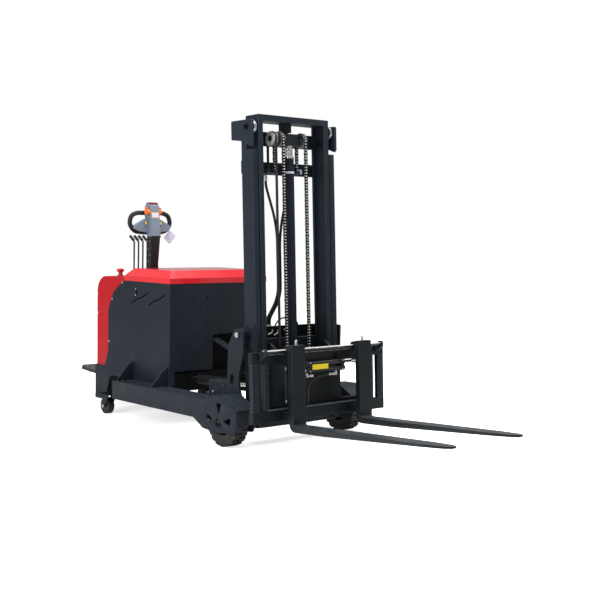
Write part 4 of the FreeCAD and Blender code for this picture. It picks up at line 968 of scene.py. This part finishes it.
class STACKER_OT_wheels(bpy.types.Operator):
    """Finishes the front wheels, the castors, and the drive wheel with its unit"""
    bl_idname = "stacker.wheels"
    bl_label = "Wheels"

    def execute(self, context):
        for side, sign, outward in SIDES:
            body = "front_wheel_" + side
            soften("front_tyre_" + side, "tyre rubber", "tyre rubber", 0.0018)
            soften("front_hub_" + side, "wheel coat", "charcoal edge", 0.0014)
            circle = 0.052
            spots = []
            for step in range(6):
                turn = step * math.pi / 3
                spots.append((outward, (AXLE_X + circle * math.cos(turn), sign * 0.468,
                                        AXLE_Z + circle * math.sin(turn))))
            bolts("hub_bolts_" + side, body, spots, 0.0075, 0.006, "zinc plate")
            rows = []
            for face in (sign * 0.4175, sign * 0.5045):
                rows.append(ring("bead", 0.1100, 0.1060, -0.0012, 0.0012, 64, "y",
                                 (AXLE_X, face, AXLE_Z)))
            beads = merge("tyre_beads_" + side, rows)
            paint(beads, "tyre rubber")
            settle(beads, body)
            soften("castor_fork_" + side, "charcoal coat", "charcoal edge", 0.001)
            soften("castor_wheel_" + side, "castor tread", "castor tread", 0.004)
            for end in (1, -1):
                bolts("castor_nut_%s_%s" % (side, "in" if end * sign < 0 else "out"),
                      "castor_fork_" + side,
                      [("y" if end > 0 else "-y", (-1.385, sign * 0.405 + end * 0.0355, 0.055))],
                      0.0082, 0.0050, "zinc plate")
        soften("drive_wheel", "castor tread", "castor tread", 0.005)
        # The drive unit under the body is painted near black: painted shade, with lighter painted
        # highlights on its edges.
        soften("drive_unit", "dark recess", "charcoal edge", 0.0016)
        return {"FINISHED"}


class STACKER_OT_mast_steel(bpy.types.Operator):
    """Finishes the mast rails, cross members, brackets, sheaves, cover and cylinders"""
    bl_idname = "stacker.mast_steel"
    bl_label = "Mast steel"

    def execute(self, context):
        sizes = context.scene.stacker_sizes
        for node in ("outer_rail_left", "outer_rail_right", "inner_rail_left",
                     "inner_rail_right", "outer_cross_members", "inner_cross_members"):
            soften(node, "mast coat", "mast edge", sizes.edge)
        cover_face = -0.0242
        # The hose cover is a thin near-black sheet: painted shade on the plate's face.
        cover = cube("hose_cover", (cover_face, -0.284, 0.612), (-0.0236, 0.284, 0.6835))
        # The light strip under the cover paints a highlight along its lower edge.
        step = cube("cover_edge_highlight", (cover_face, -0.284, 0.6075), (-0.0230, 0.284, 0.6120))
        settle(merge("hose_cover", [paint(cover, "dark recess"), paint(step, "edge highlight grey")]),
               "outer_mast", LEANED)
        brackets = soften("guide_brackets", "mast coat", "mast edge", sizes.edge)
        recolour(brackets, "turned steel", LEANED_BACK,
                 lambda at: math.hypot(at.x - GUIDE_X, at.z - GUIDE_Z) < 0.0425
                 and abs(at.y) < 0.3095)
        spots = [("y", (GUIDE_X, 0.334, GUIDE_Z)), ("-y", (GUIDE_X, -0.334, GUIDE_Z))]
        screws("bracket_rings", "outer_mast", spots, 0.0175, "dark recess", LEANED)
        spots = [("y", (GUIDE_X, 0.335, GUIDE_Z)), ("-y", (GUIDE_X, -0.335, GUIDE_Z))]
        screws("bracket_screws", "outer_mast", spots, 0.0120, "dark bolt", LEANED)
        wheels = soften("mast_sheaves", "turned steel", "chrome", 0.0008)
        # The sheave's near face takes the pale finish: a painted reflection on it.
        recolour(wheels, "pale zinc and painted highlight", LEANED_BACK, lambda at: at.y < -0.1555)
        cap = ring("hose_sheave_hub", 0.0170, 0.0112, -0.0006, 0.0006, 32, "y",
                   (SHEAVE_X, -0.1568, SHEAVE_Z))
        paint(cap, "dark recess")
        settle(cap, "inner_mast", LEANED)
        soften("lift_barrel", "charcoal coat", "charcoal edge", 0.0012)
        soften("lift_rod", "chrome", "chrome", 0.0008)
        gland = ring("lift_gland", 0.0300, 0.0217, 0.0, 0.010, 40, "z", (LIFT_X, 0, 1.690))
        paint(round_edges(gland, 0.001), "chrome")
        strap = ring("lift_strap", 0.0292, 0.0270, 0.0, 0.012, 40, "z", (LIFT_X, 0, 1.599))
        paint(strap, "white tag")
        settle(merge("lift_rings", [gland, strap]), "outer_mast", LEANED)
        tag = cube("bar_plate", (cover_face, 0.137, 1.609), (-0.0225, 0.165, 1.636))
        paint(round_edges(tag, 0.0004), "white tag")
        settle(tag, "outer_mast", LEANED)
        for side, sign, outward in SIDES:
            soften("tilt_barrel_" + side, "black plastic", "black plastic", 0.0012)
            soften("tilt_rod_" + side, "chrome", "chrome", 0.0012)
            spots = [(outward, (x, sign * 0.330, z)) for x in (PIVOT_X, 0.074)
                     for z in (0.575, 0.690)]
            bolts("boss_bolts_" + side, "outer_mast", spots, 0.0070, 0.005, "dark bolt",
                  LEANED)
        return {"FINISHED"}


class STACKER_OT_fork_gear(bpy.types.Operator):
    """Finishes the carriage, the sliding frame, the forks and the spreading cylinders"""
    bl_idname = "stacker.fork_gear"
    bl_label = "Forks and carriage"

    def execute(self, context):
        sizes = context.scene.stacker_sizes
        soften("lift_carriage", "fork coat", "fork edge", sizes.edge)
        soften("fork_frame_bars", "fork coat", "fork edge", 0.0032)
        soften("fork_frame_ends", "mast coat", "fork edge", sizes.edge)
        shaft = soften("fork_hanging_shaft", "black steel", "black steel", 0.0012)
        # The shaft's top strip takes the pale finish: a painted highlight along the top of the dark
        # shaft.
        recolour(shaft, "pale zinc and painted highlight", LEANED_BACK, lambda at: at.z > 0.5635)
        for side, sign, level in (("left", 1, CYLINDER_HIGH), ("right", -1, CYLINDER_LOW)):
            blade = soften("fork_" + side, "fork coat", "fork edge", sizes.edge)
            # The blades' top faces take a lighter, dustier copy of the fork paint: dust, and a
            # painted sheen where light falls on them.
            recolour(blade, "blade top dirt and sheen", LEANED_BACK, lambda at: at.x > 0.45 and at.z > 0.1345)
            recolour(blade, "chrome", LEANED_BACK,
                     lambda at: math.hypot(at.x - CYLINDER_X, at.z - level) < 0.0095
                     and at.y * sign < 0.226)
            knob = turned("fork_pin_" + side, [(0, 0.0075), (0.012, 0.0075), (0.013, 0.0055),
                                               (0.019, 0.0055), (0.0195, 0.0085),
                                               (0.026, 0.0085), (0.028, 0.0060)], 18,
                          at=(0.382, sign * 0.262, 0.592))
            paint(knob, "zinc plate")
            settle(knob, "fork_" + side, LEANED)
        spreading_cylinders()
        frame_fittings()
        return {"FINISHED"}


def spreading_cylinders():
    """Two cylinders, one above the other, with end caps, clamps, a bridge and a blank label."""
    clamp_middles = (-0.128, 0.128)
    parts = []
    for z in (CYLINDER_LOW, CYLINDER_HIGH):
        parts.append(paint(turned("tube", [(-0.150, 0.0100), (-0.150, 0.0150), (-0.148, 0.0166),
                                           (-0.134, 0.0166), (-0.133, 0.0148), (0.133, 0.0148),
                                           (0.134, 0.0166), (0.148, 0.0166), (0.150, 0.0150),
                                           (0.150, 0.0100)], 28, "y", (CYLINDER_X, 0, z)),
                           "black plastic"))
        for y in (-0.1412, 0.1412):
            # The glands are painted in the lighter fork edge highlight colour: painted highlights at
            # the tube ends.
            parts.append(paint(ring("gland", 0.0171, 0.0090, -0.0022, 0.0022, 28, "y",
                                    (CYLINDER_X, y, z)), "fork edge"))
    for y in clamp_middles:
        clamp = cube("clamp", (0.3185, y - 0.013, 0.4225), (0.3530, y + 0.013, 0.4880))
        foot = cube("foot", (0.3012, y - 0.013, 0.446), (0.3200, y + 0.013, 0.519))
        parts.append(paint(round_edges(merge("clamp", [clamp, foot]), 0.0018), "fork coat"))
    middle = cube("bridge", (0.324, -0.024, 0.446), (0.347, 0.024, 0.464))
    parts.append(paint(round_edges(middle, 0.002), "fork coat"))
    label = cube("label", (0.3510, -0.112, 0.4400), (0.3520, 0.012, 0.4690))
    parts.append(paint(round_edges(label, 0.0003), "yellow plate"))
    whole = merge("spreading_cylinders", parts)
    settle(whole, "fork_frame", LEANED, ("fork_spreader",))
    spots = [("x", (0.3530, y, z)) for y in clamp_middles for z in (0.4300, 0.4805)]
    screws("clamp_screws", "fork_frame", spots, 0.0042, "zinc plate", LEANED)


def frame_fittings():
    """Fittings and short hoses by the cylinders, the carriage's pipe, painted highlight lines along
    the bar edges, and bolts.
    """
    fittings = []
    for low, high in ((-0.130, -0.078), (0.045, 0.103)):
        fittings.append(turned("fitting", [(low, 0.0045), (low, 0.0075), (low + 0.010, 0.0075),
                                           (low + 0.011, 0.0060), (high - 0.022, 0.0060),
                                           (high - 0.021, 0.0088), (high - 0.004, 0.0088),
                                           (high - 0.003, 0.0060), (high, 0.0050)], 12, "y",
                               (0.317, 0, 0.402)))
    for y in (-0.126, 0.104):
        fittings.append(turned("elbow", [(0.394, 0.0045), (0.394, 0.0075), (0.410, 0.0075),
                                         (0.411, 0.0058), (0.424, 0.0058)], 12, "z",
                               (0.317, y, 0)))
    silver = merge("cylinder_fittings", fittings)
    paint(silver, "pale zinc and painted highlight")
    settle(silver, "fork_frame", LEANED)
    lines = [tube("loop", [(0.292, -0.101, 0.228), (0.294, -0.101, 0.330),
                           (0.312, -0.098, 0.362), (0.317, -0.068, 0.386),
                           (0.317, -0.020, 0.398), (0.317, 0.046, 0.402)], 0.0066,
                  "hose rubber"),
             tube("loop", [(0.292, -0.150, 0.228), (0.296, -0.150, 0.345),
                           (0.317, -0.150, 0.390), (0.317, -0.142, 0.402),
                           (0.317, -0.128, 0.402)], 0.0055, "hose rubber")]
    for y in (-0.101, -0.150):
        holder = cube("holder", (0.2830, y - 0.010, 0.222), (0.3000, y + 0.010, 0.238))
        lines.append(paint(round_edges(holder, 0.0015), "fork coat"))
    settle(merge("cylinder_hoses", lines), "fork_frame", LEANED)
    pipe_at = (0.2365, -0.219, 0)
    # The pipe is painted in the lighter fork edge highlight colour: a painted highlight line.
    parts = [paint(turned("pipe", [(0.246, 0.0035), (0.474, 0.0035)], 12, "z", pipe_at),
                   "fork edge")]
    for low in (0.250, 0.440):
        parts.append(paint(turned("nut", [(low, 0.0035), (low, 0.0048), (low + 0.016, 0.0048),
                                          (low + 0.016, 0.0035)], 6, "z", pipe_at),
                           "turned steel"))
    settle(merge("carriage_pipe", parts), "carriage", LEANED)
    # Thin light strips along the bar's top and lower edges: painted highlights.
    edges = [cube("dash", (0.3006, y, 0.5385), (0.3022, y + 0.054, 0.5425))
             for y in [-0.464 + 0.064 * step for step in range(14)]]
    for x in (0.2690, 0.3006):
        edges.append(cube("line", (x, -0.410, 0.2240), (x + 0.0014, 0.410, 0.2272)))
    whole = merge("bar_edge_highlights", edges)
    paint(whole, "edge highlight grey")
    settle(whole, "fork_frame", LEANED)
    spots = [("x", (0.3011, y, z)) for y in (-0.495, -0.414, 0.414, 0.495)
             for z in (0.270, 0.440)]
    bolts("frame_bolts", "fork_frame", spots, 0.0080, 0.006, "dark bolt",
          LEANED)
    spots = [("x", (0.2455, y, z)) for y in (-0.378, 0.378) for z in (0.270, 0.360, 0.450)]
    bolts("carriage_bolts", "carriage", spots, 0.0080, 0.006, "dark bolt",
          LEANED)


class STACKER_OT_driver_end(bpy.types.Operator):
    """Finishes the steering head, column, handle, levers, stop button and platform"""
    bl_idname = "stacker.driver_end"
    bl_label = "Driver end"

    def execute(self, context):
        soften("steering_head", "black plastic", "charcoal edge", 0.0012)
        soften("tiller_column", "black plastic", "charcoal edge", 0.002)
        soften("tiller_handle", "grip rubber", "grip rubber", 0.0004)
        lever_bank()
        stop_mushroom()
        platform_mat()
        return {"FINISHED"}


def lever_bank():
    """Four levers with bellows, dark stems and bent grips on one base plate."""
    base = cube("base", (-1.381, -0.240, BODY_TOP), (-1.329, -0.093, 0.9370))
    parts = [paint(round_edges(base, 0.0025), "black plastic")]
    boot_rings = [(0.9370, 0.0150), (0.9400, 0.0158), (0.9440, 0.0125), (0.9480, 0.0142),
                  (0.9520, 0.0108), (0.9560, 0.0124), (0.9600, 0.0090), (0.9640, 0.0104),
                  (0.9690, 0.0066), (0.9760, 0.0062)]
    first_y, pitch = -0.114, 0.035
    for step in range(4):
        y = first_y - pitch * step
        parts.append(paint(turned("boot", boot_rings, 20, "z", (LEVER_X, y, 0)), "grip rubber"))
        parts.append(paint(turned("stem", [(0.9700, 0.0056), (1.1640, 0.0056)], 16, "z",
                                  (LEVER_X, y, 0)), "black plastic"))
        parts.append(tube("elbow", [(LEVER_X, y, 1.1560), (-1.3552, y, 1.1640),
                                    (-1.3600, y, 1.1720), (-1.3680, y, 1.1780)], 0.0060,
                          "black plastic"))
        parts.append(tube("grip", [(-1.3640, y, 1.1752), (-1.3660, y, 1.1766),
                                   (-1.4030, y, 1.2010), (-1.4050, y, 1.2022)], 0.0098,
                          "grip rubber"))
    settle(merge("lever_bank", parts), "chassis", UPRIGHT,
           ("control_levers",))
    spots = [("z", (x, y, 0.9370)) for x in (-1.374, -1.336) for y in (-0.234, -0.099)]
    screws("lever_screws", "chassis", spots, 0.0030, "zinc plate")


def stop_mushroom():
    """Mushroom button on a black collar."""
    collar = turned("collar", [(BODY_TOP, 0.0215), (0.9330, 0.0215), (0.9345, 0.0200),
                               (0.9345, 0.0120)], 32, "z", BUTTON_SPOT)
    neck = turned("neck", [(0.9330, 0.0175), (0.9380, 0.0165), (0.9440, 0.0142),
                           (0.9540, 0.0138), (0.9580, 0.0160)], 28, "z", BUTTON_SPOT)
    cap = turned("cap", [(0.9560, 0.0130), (0.9572, 0.0215), (0.9610, 0.0246),
                         (0.9680, 0.0250), (0.9740, 0.0236), (0.9778, 0.0195),
                         (0.9796, 0.0120), (0.9800, 0.0030)], 40, "z", BUTTON_SPOT)
    whole = merge("stop_mushroom", [paint(collar, "black plastic"), paint(neck, "red plastic"),
                                    paint(cap, "red plastic")])
    settle(whole, "chassis", UPRIGHT, ("stop_button",))


def platform_mat():
    """Deck with a ribbed rubber mat on it."""
    soften("platform_deck", "charcoal coat", "charcoal edge", 0.0016)
    front, shoulder, rear = -1.655, -2.015, -2.142
    outline = [(front, -0.262), (front, 0.262), (shoulder, 0.207), (rear, 0.122),
               (rear, -0.122), (shoulder, -0.207)]
    mat = plate("mat", outline, 0.2358, 0.2376, "z")
    paint(round_edges(mat, 0.0008), "step rubber")
    first_row, pitch = -1.668, 0.020
    places = []
    for row in range(23):
        x = first_row - row * pitch
        # the ribs stay inside the mat's tapering sides, then inside its cut corners
        reach = 0.250 + min(0.0, x - front) * 0.153
        if x < shoulder:
            reach = 0.195 + (x - shoulder) * 0.67
        count = int(reach / pitch)
        for column in range(-count, count + 1):
            turn = math.pi / 4 if (row + column) % 2 else -math.pi / 4
            places.append(Matrix.Translation((x, column * pitch, 0.2375))
                          @ Matrix.Rotation(turn, 4, "Z"))
    rib = cube("rib", (-0.0026, -0.0070, 0), (0.0026, 0.0070, 0.0014))
    paint(rib, "step rubber")
    ribs = repeated("ribs", rib, places)
    settle(merge("platform_mat", [mat, ribs]), "platform")


class STACKER_OT_tiller(bpy.types.Operator):
    """Finishes the tiller head with its faceplate, badge, buttons, thumb wheels, cap and tag"""
    bl_idname = "stacker.tiller"
    bl_label = "Tiller"

    def execute(self, context):
        head = soften("tiller_head", "tiller grey", "tiller grey", 0.006)
        wheel_x, wheel_z = -1.454, 1.371
        recolour(head, "orange plastic", UPRIGHT_BACK,
                 lambda at: math.hypot(at.x - wheel_x, at.z - wheel_z) < 0.0208
                 and 0.0375 < abs(at.y) < 0.0605)
        lean = math.atan2(1.438 - 1.414, 1.419 - 1.200)
        slope = Matrix.Rotation(-lean, 4, "Y")
        parts = faceplate(Matrix.Translation((-1.4150, 0, 1.200)) @ slope)
        for y in (-0.0620, 0.0620):
            for radius, low, high, finish in ((0.0125, -0.004, 0.0022, "black plastic"),
                                              (0.0098, 0.0, 0.0046, "yellow button")):
                knob = turned("button", [(low, radius), (high - 0.0012, radius),
                                         (high, radius * 0.82), (high, radius * 0.3)], 26, "x")
                knob.data.transform(Matrix.Translation((-1.4542, y, 1.292)) @ slope
                                    @ Matrix.Diagonal((1, 0.78, 1.15, 1)))
                parts.append(paint(knob, finish))
        for sign in (1, -1):
            paddle = cube("paddle", (-1.466, sign * 0.054 - 0.008, 1.389),
                          (-1.446, sign * 0.054 + 0.008, 1.403))
            parts.append(paint(round_edges(paddle, 0.002), "orange plastic"))
        cap = cube("cap", (-1.490, -0.033, 1.426), (-1.448, 0.033, 1.4370))
        rim = cube("rim", (-1.492, -0.036, 1.421), (-1.444, 0.036, 1.4310))
        parts += [paint(round_edges(cap, 0.0030), "black plastic"),
                  paint(round_edges(rim, 0.0018), "dark red rim")]
        tag = plate("tag", [(0.164, 1.246), (0.118, 1.189), (0.165, 1.145), (0.221, 1.203)],
                    -1.4932, -1.4918, "x")
        parts.append(paint(round_edges(tag, 0.0004), "white tag"))
        parts.append(tube("tag_cord", [(-1.492, 0.136, 1.262), (-1.4925, 0.146, 1.250),
                                       (-1.4925, 0.160, 1.236)], 0.0012, "dark bolt"))
        settle(merge("tiller_fittings", parts), "tiller")
        spots = []
        for x, z in ((-1.434, 1.167), (-1.456, 1.113), (-1.436, 1.072), (-1.454, 1.029)):
            half = 0.032 + (z - 0.998) / 0.202 * 0.007
            spots += [("-y", (x, -half - 0.0002, z)), ("y", (x, half + 0.0002, z))]
        screws("column_screws", "tiller", spots, 0.0042, "zinc plate")
        return {"FINISHED"}


def faceplate(place):
    """Strip on the tiller's face with its lower lip and blank badge, x out of the face."""
    strip = cube("strip", (-0.004, -0.034, 0.004), (0.0024, 0.034, 0.204))
    lip = cube("lip", (-0.004, -0.038, -0.006), (0.0040, 0.038, 0.004))
    rim = cube("badge_frame", (0.0020, -0.031, 0.129), (0.0036, 0.031, 0.170))
    badge = cube("badge", (0.0030, -0.026, 0.134), (0.0042, 0.026, 0.165))
    parts = [paint(round_edges(strip, 0.0016), "tiller grey"),
             paint(round_edges(lip, 0.0014), "black plastic"),
             paint(round_edges(rim, 0.0006), "gold plate"),
             paint(round_edges(badge, 0.0004), "white tag")]
    for piece in parts:
        piece.data.transform(place)
    return parts


class STACKER_OT_lines(bpy.types.Operator):
    """Makes the chains and finishes the hoses"""
    bl_idname = "stacker.lines"
    bl_label = "Chains and hoses"

    def execute(self, context):
        pitch = context.scene.stacker_sizes.chain_pitch
        roller_chain("chain_front_strands", pitch, 1, 0.495)
        roller_chain("chain_rear_strands", pitch, -1, 1.622)
        # node, the two bodies, then the x and z of both ends of the part that gives
        spans = [("hose_front_strand", ("carriage", "inner_mast"), (0.098, 0.53), (0.098, 1.76)),
                 ("hose_rear_strand", ("outer_mast", "inner_mast"), (0.022, 1.64), (0.022, 1.79))]
        for node, bodies, low, high in spans:
            hose = even_shading(twin_of(node, "hose rubber"))
            bend_between(hose, node)
        hose = even_shading(twin_of("body_hoses", "hose sheath"))
        bend_between(hose, "body_hoses")
        hoses = even_shading(twin_of("mast_hoses", "hose rubber"))
        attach(hoses, "outer_mast")
        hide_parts("mast_hoses")
        hose_fittings()
        return {"FINISHED"}


def roller_chain(node, pitch, side, foot):
    """Both strands of a roller chain: up to its sheave and round a quarter of it."""
    x, top, radius = SHEAVE_X, SHEAVE_Z, SHEAVE_RADIUS
    run = top - foot
    count = int((run + radius * math.pi / 2 - pitch * 0.3) / pitch)
    pins = []
    for step in range(count + 1):
        along = pitch * (step + 0.3)
        if along < run:
            pins.append((x + side * radius, foot + along))
        else:
            turn = (along - run) / radius
            pins.append((x + side * radius * math.cos(turn), top + radius * math.sin(turn)))
    places = {0: [], 1: []}
    for step in range(count):
        (x0, z0), (x1, z1) = pins[step], pins[step + 1]
        turn = Matrix.Rotation(math.atan2(x1 - x0, z1 - z0), 4, "Y")
        for y in (0.088, -0.088):
            places[step % 2].append(Matrix.Translation((x0, y, z0)) @ turn)
    inner = chain_link(pitch, 0.0074, 0.0094, 0.0044, 0.0074)
    outer = chain_link(pitch, 0.0096, 0.0114, 0.0026, 0.0120)
    whole = merge(node + "_links", [repeated("inner_links", inner, places[0]),
                                    repeated("outer_links", outer, places[1])])
    whole.data.transform(LEANED)
    bend_between(whole, node)


def chain_link(pitch, near, far, pin_radius, reach):
    """One link: two waisted plates, a near-black core that paints the shade between them, and the
    two round parts through their ends.
    """
    half = 0.0058
    shape = []
    for middle, first, waist in ((0.0, 180, half * 0.72), (pitch, 0, -half * 0.72)):
        for step in range(7):
            turn = math.radians(first + step * 30)
            shape.append((half * math.cos(turn), middle + half * math.sin(turn)))
        shape.append((waist, pitch / 2))
    parts = []
    for low, high in ((near, far), (-far, -near)):
        parts.append(paint(plate("side", shape, low, high), "oiled chain"))
    # The core between the plates is painted near black: painted shade between the parts.
    gap = cube("core", (-0.0036, -near, 0.0046), (0.0036, near, pitch - 0.0046))
    parts.append(paint(gap, "dark recess"))
    for z in (0, pitch):
        parts.append(paint(turned("pin", [(-reach, pin_radius * 0.8),
                                          (-reach + 0.0004, pin_radius),
                                          (reach - 0.0004, pin_radius),
                                          (reach, pin_radius * 0.8)], 10, "y", (0, 0, z)),
                           "pale zinc and painted highlight"))
    return merge("link", parts)


def hose_fittings():
    """Ferrules and bent ports at the hoses' ends, and the thin return hose on the plate."""
    collar = [(0, 0.0105), (0.010, 0.0105), (0.0104, 0.0092)]
    crimped = [(0.014, 0.0092), (0.0144, 0.0104), (0.036, 0.0104), (0.0375, 0.0086)]
    silver = []
    for y in (-0.128, -0.108):
        silver.append(turned("ferrule", collar, 12, "z", (PORT_X, y, 0.684)))
    for y in (-0.118, 0.050):
        silver.append(turned("ferrule", collar + crimped, 12, "-z", (PORT_X, y, 1.595)))
    # y and z along each bent port on the plate's face
    ports = ([(-0.132, 0.634), (-0.112, 0.640), (-0.096, 0.646), (-0.095, 0.664)],
             [(-0.085, 0.626), (-0.066, 0.635), (-0.050, 0.642), (-0.049, 0.664)],
             [(-0.006, 0.664), (0.002, 0.656), (0.010, 0.646)])
    for route in ports:
        points = [(PLATE_FACE, y, z) for y, z in route]
        silver.append(tube("elbow", points, 0.0056, "pale zinc and painted highlight"))
    whole = merge("hose_ferrules", silver)
    paint(whole, "pale zinc and painted highlight")
    settle(whole, "outer_mast", LEANED)
    arch = [(-0.070, 0.678), (-0.062, 0.694), (-0.030, 0.722), (0.000, 0.731),
            (0.050, 0.731), (0.095, 0.716), (0.116, 0.692), (0.118, 0.678)]
    thin = tube("return_hose", [(PORT_X, y, z) for y, z in arch], 0.0048, "hose rubber")
    settle(thin, "outer_mast", LEANED)
    parts = []
    for step in range(3):
        parts.append(turned("ferrule", [(0, 0.0092), (0.008, 0.0092), (0.0084, 0.0088),
                                        (0.022, 0.0088)], 12, "-z",
                            (-0.712, -0.038 + 0.020 * step, 0.5995)))
    body_end = merge("body_ferrules", parts)
    paint(body_end, "zinc plate")
    settle(body_end, "chassis")


OPERATORS = [STACKER_OT_stage, STACKER_OT_finishes, STACKER_OT_steel_frame,
             STACKER_OT_body_panels, STACKER_OT_covers, STACKER_OT_battery, STACKER_OT_wheels,
             STACKER_OT_mast_steel, STACKER_OT_fork_gear, STACKER_OT_driver_end,
             STACKER_OT_tiller, STACKER_OT_lines]


class STACKER_PT_sidebar(bpy.types.Panel):
    """Lists the build steps in order"""
    bl_idname = "STACKER_PT_sidebar"
    bl_label = "Rough terrain stacker"
    bl_space_type = "VIEW_3D"
    bl_region_type = "UI"
    bl_category = "Stacker"

    def draw(self, context):
        for operator in OPERATORS:
            self.layout.operator(operator.bl_idname)


CLASSES = [StackerSizes, StackerColours, *OPERATORS, STACKER_PT_sidebar]


def register():
    for kind in CLASSES:
        bpy.utils.register_class(kind)
    bpy.types.Scene.stacker_sizes = PointerProperty(type=StackerSizes)
    bpy.types.Scene.stacker_colours = PointerProperty(type=StackerColours)


def unregister():
    del bpy.types.Scene.stacker_colours
    del bpy.types.Scene.stacker_sizes
    for kind in reversed(CLASSES):
        bpy.utils.unregister_class(kind)


def main():
    register()
    for operator in OPERATORS:
        section, step = operator.bl_idname.split(".")
        getattr(getattr(bpy.ops, section), step)()


if __name__ == "__main__":
    main()
